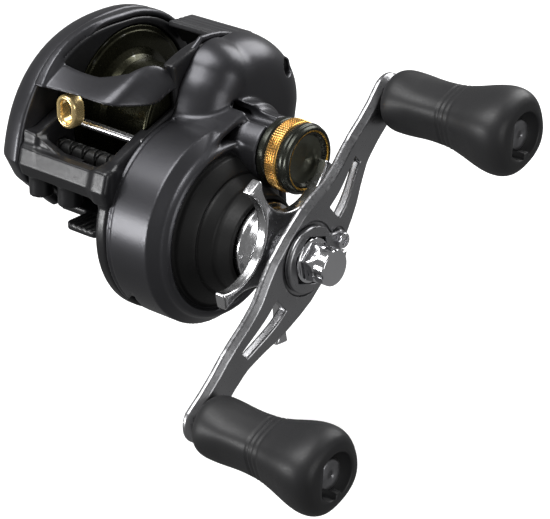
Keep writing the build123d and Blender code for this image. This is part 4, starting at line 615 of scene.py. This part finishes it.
def studded_ring():
    """Tree that stands rows of small pyramids all round a ring about the X axis."""
    tree = bpy.data.node_groups.new("studded_ring", "GeometryNodeTree")
    nodes, links = tree.nodes, tree.links
    for name, kind, value in (("Count", "NodeSocketInt", 72), ("Rows", "NodeSocketInt", 5),
                              ("Radius", "NodeSocketFloat", 0.0098), ("Pitch", "NodeSocketFloat", 0.0007),
                              ("Size", "NodeSocketFloat", 0.0005), ("Height", "NodeSocketFloat", 0.0003),
                              ("Start", "NodeSocketVector", (0, 0, 0)), ("Surface", "NodeSocketMaterial", None)):
        socket = tree.interface.new_socket(name=name, in_out="INPUT", socket_type=kind)
        if value is not None:
            socket.default_value = value
    tree.interface.new_socket(name="Geometry", in_out="OUTPUT", socket_type="NodeSocketGeometry")
    given, result = nodes.new("NodeGroupInput"), nodes.new("NodeGroupOutput")
    row = nodes.new("GeometryNodeMeshLine")
    reach = nodes.new("ShaderNodeCombineXYZ")
    links.new(given.outputs["Rows"], row.inputs["Count"])
    links.new(given.outputs["Pitch"], reach.inputs["X"])
    links.new(reach.outputs["Vector"], row.inputs["Offset"])
    around = nodes.new("GeometryNodeMeshCircle")
    links.new(given.outputs["Count"], around.inputs["Vertices"])
    links.new(given.outputs["Radius"], around.inputs["Radius"])
    stand = nodes.new("GeometryNodeTransform")
    stand.inputs["Rotation"].default_value = (0, math.pi / 2, 0)
    links.new(around.outputs["Mesh"], stand.inputs["Geometry"])
    rings = nodes.new("GeometryNodeInstanceOnPoints")
    links.new(row.outputs["Mesh"], rings.inputs["Points"])
    links.new(stand.outputs["Geometry"], rings.inputs["Instance"])
    seats = nodes.new("GeometryNodeRealizeInstances")
    links.new(rings.outputs["Instances"], seats.inputs["Geometry"])
    stud = nodes.new("GeometryNodeMeshCone")
    stud.inputs["Vertices"].default_value = 4
    stud.inputs["Radius Top"].default_value = 0.00008
    links.new(given.outputs["Size"], stud.inputs["Radius Bottom"])
    links.new(given.outputs["Height"], stud.inputs["Depth"])
    place, split, spoke = (nodes.new(kind) for kind in (
        "GeometryNodeInputPosition", "ShaderNodeSeparateXYZ", "ShaderNodeCombineXYZ"))
    links.new(place.outputs["Position"], split.inputs["Vector"])
    links.new(split.outputs["Y"], spoke.inputs["Y"])
    links.new(split.outputs["Z"], spoke.inputs["Z"])
    lean = nodes.new("FunctionNodeAlignRotationToVector")
    lean.axis = "Z"
    links.new(spoke.outputs["Vector"], lean.inputs["Vector"])
    studs = nodes.new("GeometryNodeInstanceOnPoints")
    links.new(seats.outputs["Geometry"], studs.inputs["Points"])
    links.new(stud.outputs["Mesh"], studs.inputs["Instance"])
    links.new(lean.outputs["Rotation"], studs.inputs["Rotation"])
    whole = nodes.new("GeometryNodeRealizeInstances")
    links.new(studs.outputs["Instances"], whole.inputs["Geometry"])
    shift = nodes.new("GeometryNodeTransform")
    links.new(whole.outputs["Geometry"], shift.inputs["Geometry"])
    links.new(given.outputs["Start"], shift.inputs["Translation"])
    paint = nodes.new("GeometryNodeSetMaterial")
    links.new(shift.outputs["Geometry"], paint.inputs["Geometry"])
    links.new(given.outputs["Surface"], paint.inputs["Material"])
    links.new(paint.outputs["Geometry"], result.inputs["Geometry"])
    return tree


def grown(name, tree, values, body, stands_for):
    """The plain mesh that a node tree makes from its named inputs, riding on its body."""
    seed = bpy.data.objects.new(name + "_seed", bpy.data.meshes.new(name + "_seed"))
    bpy.context.scene.collection.objects.link(seed)
    maker = seed.modifiers.new("maker", "NODES")
    maker.node_group = tree
    for item in tree.interface.items_tree:
        if item.in_out == "INPUT" and item.name in values:
            maker[item.identifier] = values[item.name]
    seed.update_tag()
    bpy.context.view_layer.update()
    ready = bpy.context.evaluated_depsgraph_get()
    mesh = bpy.data.meshes.new_from_object(seed.evaluated_get(ready), depsgraph=ready)
    bpy.data.objects.remove(seed)
    piece = bpy.data.objects.new(name, mesh)
    bpy.context.scene.collection.objects.link(piece)
    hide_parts(*stands_for)
    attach(piece, body)
    return piece


knurl = studded_ring()
knurl_rows = 5
knurl_pitch = (band_end - band_start - 0.5) / knurl_rows
grown("cast_control_knurl", knurl,
      {"Count": 84, "Rows": knurl_rows, "Radius": 9.86 * MM, "Pitch": knurl_pitch * MM, "Size": 0.48 * MM,
       "Height": 0.26 * MM, "Start": ((band_start + 0.25 + knurl_pitch / 2) * MM, spool_y * MM, spool_z * MM),
       "Surface": gold},
      "cast_control", ("tension_knob",))


# ------------------------------------------------------------------ star drag
# A forged aluminium star, polished. Its hub turns in the turret's mouth and five scalloped arms
# with bevelled edges reach out behind the handle.
bright = finish_of("bright_aluminium", (0.58, 0.58, 0.59), (0.68, 0.68, 0.69), 1.0, 0.16, 0.28, patch=70.0,
                   grain=1400.0, depth=0.01, edge=0.1)
star_low, star_high = box_mm("star_drag")
star_front = star_high[0]
star_thick = 3.6
star_back = star_front - star_thick
star_reach = 26.5
star_first = math.radians(48)
scallop_centre, scallop_radius = 25.1, 13.6
hub_line = [(star_low[0], 3.1), (star_low[0], 11.5), (star_back - 4.4, 11.5), (star_back - 3.4, 10.7),
            (star_back + 0.5, 9.4), (star_front, 9.4), (star_front, 3.1)]


def star_field(x, y, z):
    about_shaft = np.hypot(y - shaft_y, z - shaft_z)
    swing = np.arctan2(z - shaft_z, y - shaft_y) - star_first
    fold = np.mod(swing + math.pi / 5, 2 * math.pi / 5) - math.pi / 5
    u, v = about_shaft * np.cos(fold), np.abs(about_shaft * np.sin(fold))
    mid = math.pi / 5
    valley = scallop_radius - np.hypot(u - scallop_centre * math.cos(mid), v - scallop_centre * math.sin(mid))
    arms = common(about_shaft - star_reach, valley, 0.6)
    plate = bevelled(arms, np.abs(x - (star_back + star_front) / 2) - star_thick / 2, 0.45)
    hub = outline_distance(hub_line, x, about_shaft)
    return np.maximum(weld(plate, hub, 1.2), 3.1 - about_shaft)


points, faces = surface_of(star_field, star_low - 0.8, star_high + 0.8, 0.36)
make_piece("star_forging", points, faces, bright, "star", ("star_drag",))


# ------------------------------------------------------------------ handle
# Two arms in one stamped and machined aluminium plate with wedge windows. Its ends are bent in
# towards the reel, and a shallow pocket round the middle takes the nut's retainer.
handle_grey = finish_of("satin_aluminium", (0.30, 0.30, 0.31), (0.37, 0.37, 0.38), 1.0, 0.26, 0.38, patch=60.0,
                        grain=1600.0, depth=0.012, edge=0.12)
handle_low, handle_high = box_mm("handle_arm")
handle_half = 51.0
handle_face = handle_high[0]
handle_thick = 3.0
arm_drop = handle_face - handle_thick - handle_low[0]
post_low, post_high = box_mm("knob_post_top")
post_y, post_z = (post_low[1] + post_high[1]) / 2, (post_low[2] + post_high[2]) / 2
lean_y, lean_z = (post_y - shaft_y) / handle_half, (post_z - shaft_z) / handle_half
arm_line = [(0.0, 12.2), (8.0, 11.8), (13.0, 10.7), (19.0, 8.9), (26.0, 7.2), (33.0, 6.0), (40.0, 5.6), (45.5, 5.7)]
upper_edge = arm_line + arc((handle_half, 6.4), (handle_half + 6.4, 0.0), (handle_half, -6.4), 16)
right_half = upper_edge + [(s, -t) for s, t in reversed(arm_line)]
handle_line = right_half + [(-s, -t) for s, t in right_half[1:-1]]
window_line = [(14.6, 2.9), (31.0, 1.5), (31.0, -1.5), (14.6, -2.9)]
screw_s, screw_t = 10.2, -6.6


def on_handle(points):
    """Points of (x, along, across) the handle turned into the frame's x, y, z."""
    x, s, t = points.T
    return np.stack([x, shaft_y + s * lean_y - t * lean_z, shaft_z + s * lean_z + t * lean_y], 1)


def handle_field(x, s, t):
    bent = np.clip((np.abs(s) - 17) / 19, 0, 1)
    level = x - handle_face + arm_drop * bent * bent * (3 - 2 * bent)
    side = outline_distance(handle_line, s, t)
    plate = bevelled(bevelled(side, level, 1.5), -level - handle_thick, 0.5)
    windows = outline_distance(window_line, np.abs(s), t)
    pocket = np.minimum(np.hypot(s, t) - 10.4, np.hypot(s - screw_s, t - screw_t) - 3.3)
    plate = cut(plate, np.maximum(pocket, -level - 0.7), 0.3)
    plate = cut(plate, windows, 0.7)
    plate = np.maximum(plate, 3.0 - np.hypot(s, t))
    return np.maximum(plate, 2.3 - np.hypot(np.abs(s) - handle_half, t))


points, faces = surface_of(handle_field, (handle_low[0] - 0.6, -58.6, -13.2), (handle_face + 0.6, 58.6, 13.2), 0.36)
make_piece("handle_plate", on_handle(points), faces, handle_grey, "crank", ("handle_arm",))


# ------------------------------------------------------------------ handle nut and its retainer
# A chromed hexagon nut with a round cap holds the handle. A small plate keeps it from turning
# and is held by one cross-head screw.
chrome = finish_of("chrome", (0.72, 0.72, 0.74), (0.80, 0.80, 0.82), 1.0, 0.06, 0.16, patch=80.0, grain=1200.0,
                   depth=0.004, edge=0.05)
nut_end = box_mm("handle_nut")[1][0]
nut_foot = handle_face - 0.7


def hexagon(s, t, across_flats):
    """Signed distance to a hexagon with a corner on the first axis."""
    lean = s * math.cos(math.pi / 6)
    return np.maximum(np.abs(t), np.maximum(np.abs(lean + t / 2), np.abs(lean - t / 2))) - across_flats / 2


def nut_field(x, s, t):
    away = np.hypot(s, t)
    hexed = common(hexagon(s, t, 10.0), x - (handle_face + 5.4), 0.3)
    hexed = common(hexed, (away - 6.6 + (x - handle_face) * 0.24), 0.3)
    collar = common(away - 6.3, np.abs(x - handle_face - 0.9) - 0.7, 0.5)
    cap = common(away - 5.1, np.abs(x - (nut_end - 2.6)) - 2.6, 0.7)
    body = weld(weld(hexed, cap, 0.4), collar, 0.3)
    return np.maximum(body, nut_foot + 0.8 - x)


points, faces = surface_of(nut_field, (nut_foot, -7.4, -7.4), (nut_end + 0.6, 7.4, 7.4), 0.2)
make_piece("nut_hexagon", on_handle(points), faces, chrome, "crank", ("handle_nut",))


def retainer_field(x, s, t):
    lobe = np.hypot(s - screw_s, t - screw_t) - 2.6
    bridge = outline_distance([(8.4, -1.0), (12.1, -5.0), (8.4, -8.5), (0.0, -8.9), (0.0, 0.0)], s, t)
    plate = weld(weld(np.hypot(s, t) - 9.4, bridge, 0.8), lobe, 0.8)
    plate = bevelled(plate, np.abs(x - handle_face - 0.3) - 1.0, 0.45)
    return cut(plate, hexagon(s, t, 12.9), 0.3)


points, faces = surface_of(retainer_field, (handle_face - 1.2, -10.4, -11.0), (handle_face + 1.8, 14.4, 10.4), 0.3)
make_piece("retainer_plate", on_handle(points), faces, handle_grey, "crank", ("nut_retainer",))


def cross_screw_field(x, s, t):
    away = np.hypot(s - screw_s, t - screw_t)
    head = common(away - 2.2, np.abs(x - handle_face - 1.9) - 0.8, 0.7)
    arm_s = np.maximum(np.abs(s - screw_s) - 1.3, np.abs(t - screw_t) - 0.32)
    arm_t = np.maximum(np.abs(t - screw_t) - 1.3, np.abs(s - screw_s) - 0.32)
    return cut(head, np.maximum(np.minimum(arm_s, arm_t), handle_face + 1.8 - x), 0.15)


points, faces = surface_of(cross_screw_field, (handle_face + 0.6, screw_s - 2.8, screw_t - 2.8),
                           (handle_face + 3.2, screw_s + 2.8, screw_t + 2.8), 0.14)
make_piece("retainer_cross_screw", on_handle(points), faces, chrome, "crank", ("retainer_screw",))


# ------------------------------------------------------------------ knobs
# Each knob is one soft rubber grip with flattened sides, three fine grooves and a flared end,
# whose hollow shows the cap over the post.
rubber = finish_of("knob_rubber", (0.014, 0.014, 0.015), (0.022, 0.022, 0.023), 0.0, 0.40, 0.52, patch=30.0,
                   grain=2200.0, depth=0.02, edge=0.0, Specular_IOR_Level=0.35)
cap_metal = finish_of("brushed_cap", (0.20, 0.20, 0.21), (0.30, 0.30, 0.31), 1.0, 0.30, 0.45, patch=400.0,
                      grain=1500.0, depth=0.01)
grip_low, grip_high = box_mm("knob_grip_top")
grip_start, grip_end = grip_low[0], grip_high[0]
grip_points = [(0.0, 6.4), (0.5, 7.3), (1.7, 8.1), (3.6, 8.5), (7.0, 8.4), (11.0, 8.05), (15.0, 7.9), (19.0, 8.05),
               (22.5, 8.5), (26.0, 9.3), (29.5, 10.3), (33.0, 11.2), (36.0, 11.6), (38.6, 11.4), (40.6, 10.5),
               (41.7, 9.2), (42.1, 8.0)]
groove_places = (19.6, 21.2, 22.8)
around = 144
hollow_depth = 4.4


def smooth_line(points, steps):
    """A soft curve through the given points."""
    places = np.array([points[0]] + list(points) + [points[-1]], float)
    made = []
    for a, b, c, d in zip(places, places[1:], places[2:], places[3:]):
        for k in range(steps):
            t = k / steps
            made.append(0.5 * (2 * b + (c - a) * t + (2 * a - 5 * b + 4 * c - d) * t * t
                               + (3 * b - a - 3 * c + d) * t ** 3))
    return np.array(made + [places[-1]])


def grip_rings(turn):
    """Rings of a knob grip as rows of x and radius over all directions round the post."""
    way = np.arange(around) * 2 * math.pi / around
    soft = 3.0
    square = (np.abs(np.cos(way - turn)) ** soft + np.abs(np.sin(way - turn)) ** soft) ** (-1 / soft)
    hollow = np.minimum(6.5, 5.0 / np.maximum(np.cos(way - turn - math.radians(155)), 0.2))
    tab = np.abs(np.mod(way - turn - math.radians(262) + math.pi, 2 * math.pi) - math.pi) < 0.16
    hollow = np.where(tab, 5.2, hollow)
    rows = [(grip_start, np.full(around, 4.4))]
    for x, radius in smooth_line(grip_points, 7):
        dip = sum(0.38 * math.exp(-((x - place) / 0.26) ** 2) for place in groove_places)
        flat = np.clip((x - 2) / 8, 0, 1) * (1 - 0.45 * np.clip((x - 30) / 9, 0, 1))
        rows.append((grip_start + x, (radius - dip) * (1 + flat * (square * 0.93 - 1))))
    last = rows[-1][1]
    rows.append((grip_end, last * 0.5 + (hollow + 0.35) * 0.5))
    rows.append((grip_end, hollow + 0.3))
    rows.append((grip_end - 0.35, hollow))
    rows.append((grip_end - hollow_depth, hollow - 0.15))
    rows.append((grip_end - hollow_depth - 0.2, np.full(around, 4.6)))
    return way, rows


def tube_of(rows, way, centre_y, centre_z):
    """A closed ring-shaped surface from rows of x and radius round an axis along X."""
    places = []
    for x, radius in rows:
        ring_y, ring_z = centre_y + radius * np.cos(way), centre_z + radius * np.sin(way)
        places.append(np.stack([np.full(around, x), ring_y, ring_z], 1))
    count = len(rows)
    quads = []
    for i in range(count):
        low, high = i * around, (i + 1) % count * around
        quads += [(low + k, high + k, high + (k + 1) % around, low + (k + 1) % around) for k in range(around)]
    return np.concatenate(places), quads


for end in ("top", "bottom"):
    low, high = box_mm("knob_grip_" + end)
    centre_y, centre_z = (low[1] + high[1]) / 2, (low[2] + high[2]) / 2
    way, rows = grip_rings(math.radians(20))
    points, faces = tube_of(rows, way, centre_y, centre_z)
    make_piece("grip_" + end, points, faces, rubber, "knob_" + end, ("knob_grip_" + end,))
    top = grip_end - 1.5
    dome_line = [(top - 3.4, 0.05), (top - 3.4, 4.3), (top - 1.0, 4.3), (top - 0.45, 4.15), (top - 0.15, 3.6),
                 (top, 2.4), (top + 0.06, 0.05)]
    points, faces = turned(dome_line, centre_y, centre_z, 96)
    make_piece("post_cap_" + end, points, faces, cap_metal, "knob_" + end, ("knob_cap_" + end,))


# ------------------------------------------------------------------ level wind
# The worm shaft's crossed grooves carry the line guide to and fro. The guide is a moulded black
# block with a polished gold-coloured ring for the line.
worm_low, worm_high = box_mm("worm_shaft")
worm_radius = 2.5
worm_turns = 5.5
journal = 2.0


def worm_surface():
    steps, rings = 64, 420
    way = np.arange(steps) * 2 * math.pi / steps
    x = np.linspace(worm_low[0], worm_high[0], rings)[:, None]
    threaded = (x > worm_low[0] + journal) & (x < half_body - journal)
    travel = 12.8
    phase = x / travel * math.pi * worm_turns
    radius = np.where(threaded, worm_radius, journal) + 0 * way
    for hand in (1, -1):
        off = np.mod(way - hand * phase + math.pi, 2 * math.pi) - math.pi
        radius = radius - np.where(threaded & (np.abs(x) < travel), 0.75 * np.exp(-(off / 0.42) ** 4), 0)
    radius = np.concatenate([np.full((1, steps), 0.02), radius, np.full((1, steps), 0.02)])
    x = np.concatenate([x[:1], x, x[-1:]])
    places = np.stack([x + 0 * radius, worm_y + radius * np.cos(way), worm_z + radius * np.sin(way)], 2)
    quads = []
    for i in range(len(x) - 1):
        quads += [(i * steps + k, (i + 1) * steps + k, (i + 1) * steps + (k + 1) % steps, i * steps + (k + 1) % steps)
                  for k in range(steps)]
    return places.reshape(-1, 3), quads


points, faces = worm_surface()
# the worm is given the dark steel as painted shade, so it stays black inside the window
make_piece("worm_grooved", points, faces, dark_steel, "worm", ("worm_shaft",))

guide_black = finish_of("guide_black", (0.007, 0.007, 0.008), (0.012, 0.012, 0.013), 0.0, 0.38, 0.5, grain=1800.0)
guide_gold = finish_of("guide_gold", (0.82, 0.60, 0.26), (0.92, 0.72, 0.36), 0.75, 0.18, 0.28, grain=1500.0,
                       depth=0.006)
guide_low, guide_high = box_mm("line_guide")
ring_low, ring_high = box_mm("guide_ring")
eye_x, eye_z = (ring_low[0] + ring_high[0]) / 2, (ring_low[2] + ring_high[2]) / 2
eye_half, eye_rise = (ring_high[0] - ring_low[0]) / 2, (ring_high[2] - ring_low[2]) / 2
rod_low, rod_high = box_mm("guide_rod")
rod_y, rod_z = (rod_low[1] + rod_high[1]) / 2, (rod_low[2] + rod_high[2]) / 2
block_line = [(guide_low[1] + 1.6, guide_low[2]), (guide_high[1], guide_low[2]), (guide_high[1], rod_z + 3.0),
              (guide_high[1] - 2.4, guide_high[2]), (guide_low[1] + 0.8, guide_high[2]),
              (guide_low[1], guide_high[2] - 0.8), (guide_low[1], guide_low[2] + 1.6)]


def eye_distance(x, z, shrink):
    """Signed distance to the upright oval of the guide's eye, made smaller by shrink."""
    return np.hypot(x - eye_x, np.maximum(np.abs(z - eye_z) - eye_rise + eye_half, 0)) - eye_half + shrink


def guide_field(x, y, z):
    block = common(outline_distance(block_line, y, z), np.abs(x - (guide_low[0] + guide_high[0]) / 2) - 5.0, 0.9)
    block = cut(block, eye_distance(x, z, 1.7), 0.5)
    block = np.maximum(block, -np.maximum(eye_distance(x, z, 0), y - ring_high[1]))
    block = np.maximum(block, 2.55 - np.hypot(y - worm_y, z - worm_z))
    block = np.maximum(block, 1.25 - np.hypot(y - rod_y, z - rod_z))
    return np.maximum(block, 1.6 - np.hypot(x - eye_x, y - worm_y) + 9 * (z > worm_z))


points, faces = surface_of(guide_field, guide_low - 0.7, guide_high + 0.7, 0.32)
make_piece("guide_block", points, faces, guide_black, "guide", ("line_guide",))


def eye_ring_field(x, y, z):
    oval = np.abs(eye_distance(x, z, 0.85)) - 0.85
    return common(oval, np.abs(y - (ring_low[1] + ring_high[1]) / 2) - (ring_high[1] - ring_low[1]) / 2, 1.3)


points, faces = surface_of(eye_ring_field, ring_low - 0.5, ring_high + 0.5, 0.2)
make_piece("guide_eye", points, faces, guide_gold, "guide", ("guide_ring",))


# ------------------------------------------------------------------ thumb bar
# The moulded bar that the thumb presses to free the spool, ribbed along its top.
bar_low, bar_high = box_mm("thumb_bar")
pad_half = -bar_low[0]
thumb_grey = finish_of("thumb_grey", (0.030, 0.030, 0.032), (0.042, 0.042, 0.045), 0.1, 0.34, 0.46, grain=1800.0)
low_turn, mid_turn, high_turn = (math.radians(t) for t in (32, 42, 52))
skirt = flange_bore + 1.6
pad_line = [(spool_y + 15.6, spool_z + 20.6), (spool_y + 25.0, spool_z + 20.0), (spool_y + 24.6, spool_z + 15.0)]
pad_line += arc((spool_y + skirt * math.cos(low_turn), spool_z + skirt * math.sin(low_turn)),
                (spool_y + skirt * math.cos(mid_turn), spool_z + skirt * math.sin(mid_turn)),
                (spool_y + skirt * math.cos(high_turn), spool_z + skirt * math.sin(high_turn)), 8)
pad_line += [(spool_y + skirt * math.cos(high_turn), spool_z + skirt * math.sin(high_turn))]


def thumb_field(x, y, z):
    pad = common(outline_distance(pad_line, y, z), np.abs(x) - pad_half, 0.9)
    for k in range(4):
        pad = cut(pad, np.hypot(y - spool_y - 17.4 - 1.9 * k, z - spool_z - 20.45) - 0.42, 0.3)
    away = np.hypot(y - spool_y, z - spool_z)
    swing = np.arctan2(z - spool_z, y - spool_y)
    tab = np.maximum(np.abs(away - 24.85) - 1.1, (np.abs(swing - 0.84) - 0.055) * 24.85)
    return np.minimum(pad, np.maximum(tab, np.abs(x - 14) - 2.6))


points, faces = surface_of(thumb_field, bar_low - 0.7, bar_high + 0.7, 0.36)
make_piece("thumb_pad", points, faces, thumb_grey, "thumb_clutch", ("thumb_bar",))


# ------------------------------------------------------------------ stage
# Pale floor, pale surroundings and three soft studio lamps.
floor_drop = 0.03
floor_height = cad_box[0].z - floor_drop
floor_size = 30.0
floor_mesh = bpy.data.meshes.new("floor")
corners = [(-floor_size, -floor_size, floor_height), (floor_size, -floor_size, floor_height),
           (floor_size, floor_size, floor_height), (-floor_size, floor_size, floor_height)]
floor_mesh.from_pydata(corners, [], [(0, 1, 2, 3)])
floor = bpy.data.objects.new("floor", floor_mesh)
bpy.context.scene.collection.objects.link(floor)
floor_mesh.materials.append(finish_of("floor_paper", (0.90, 0.90, 0.90), (0.92, 0.92, 0.92), 0.0, 0.8, 0.9, patch=3.0,
                                      grain=60.0, depth=0.0, Emission_Color=(1, 1, 1, 1), Emission_Strength=0.3))
floor.visible_glossy = False
floor.visible_diffuse = False

world = bpy.data.worlds.new("studio")
bpy.context.scene.world = world
world.use_nodes = True
world.node_tree.nodes["Background"].inputs["Color"].default_value = (1.0, 1.0, 1.0, 1)
world.node_tree.nodes["Background"].inputs["Strength"].default_value = 0.20
bpy.context.scene.view_settings.view_transform = "Standard"


def lamp(name, place, target, size, power, spread=math.pi):
    """A square soft lamp turned towards a point."""
    data = bpy.data.lights.new(name, "AREA")
    data.size, data.energy, data.spread = size, power, spread
    light = bpy.data.objects.new(name, data)
    bpy.context.scene.collection.objects.link(light)
    light.location = place
    light.rotation_euler = (Vector(target) - Vector(place)).to_track_quat("-Z", "Y").to_euler()


middle = (cad_box[0] + cad_box[1]) / 2
lamp("window_lamp", (-0.15, -0.30, 0.60), middle, 0.45, 5.0)
lamp("side_lamp", (-0.36, -0.60, -0.02), middle, 0.22, 3.2)
lamp("back_lamp", (0.10, 0.55, 0.50), middle, 0.50, 5.0)
lamp("handle_lamp", (0.70, -0.15, 0.10), middle, 0.35, 1.2)

# ------------------------------------------------------------------ camera
# Three-quarter view from the front and the handle side, a little above.
azimuth, elevation = math.radians(40.265), math.radians(25.362)
camera_data = bpy.data.cameras.new("camera")
camera_data.lens, camera_data.sensor_width = 150.2, 36.0
camera = bpy.data.objects.new("camera", camera_data)
bpy.context.scene.collection.objects.link(camera)
camera.location = (0.410861, -0.433343, 0.263744)
back = Vector((math.sin(azimuth) * math.cos(elevation), -math.cos(azimuth) * math.cos(elevation), math.sin(elevation)))
camera.rotation_mode = "QUATERNION"
camera.rotation_quaternion = (-back).to_track_quat("-Z", "Y")
camera_data.clip_start, camera_data.clip_end = 0.01, 100.0
bpy.context.scene.camera = camera

import json
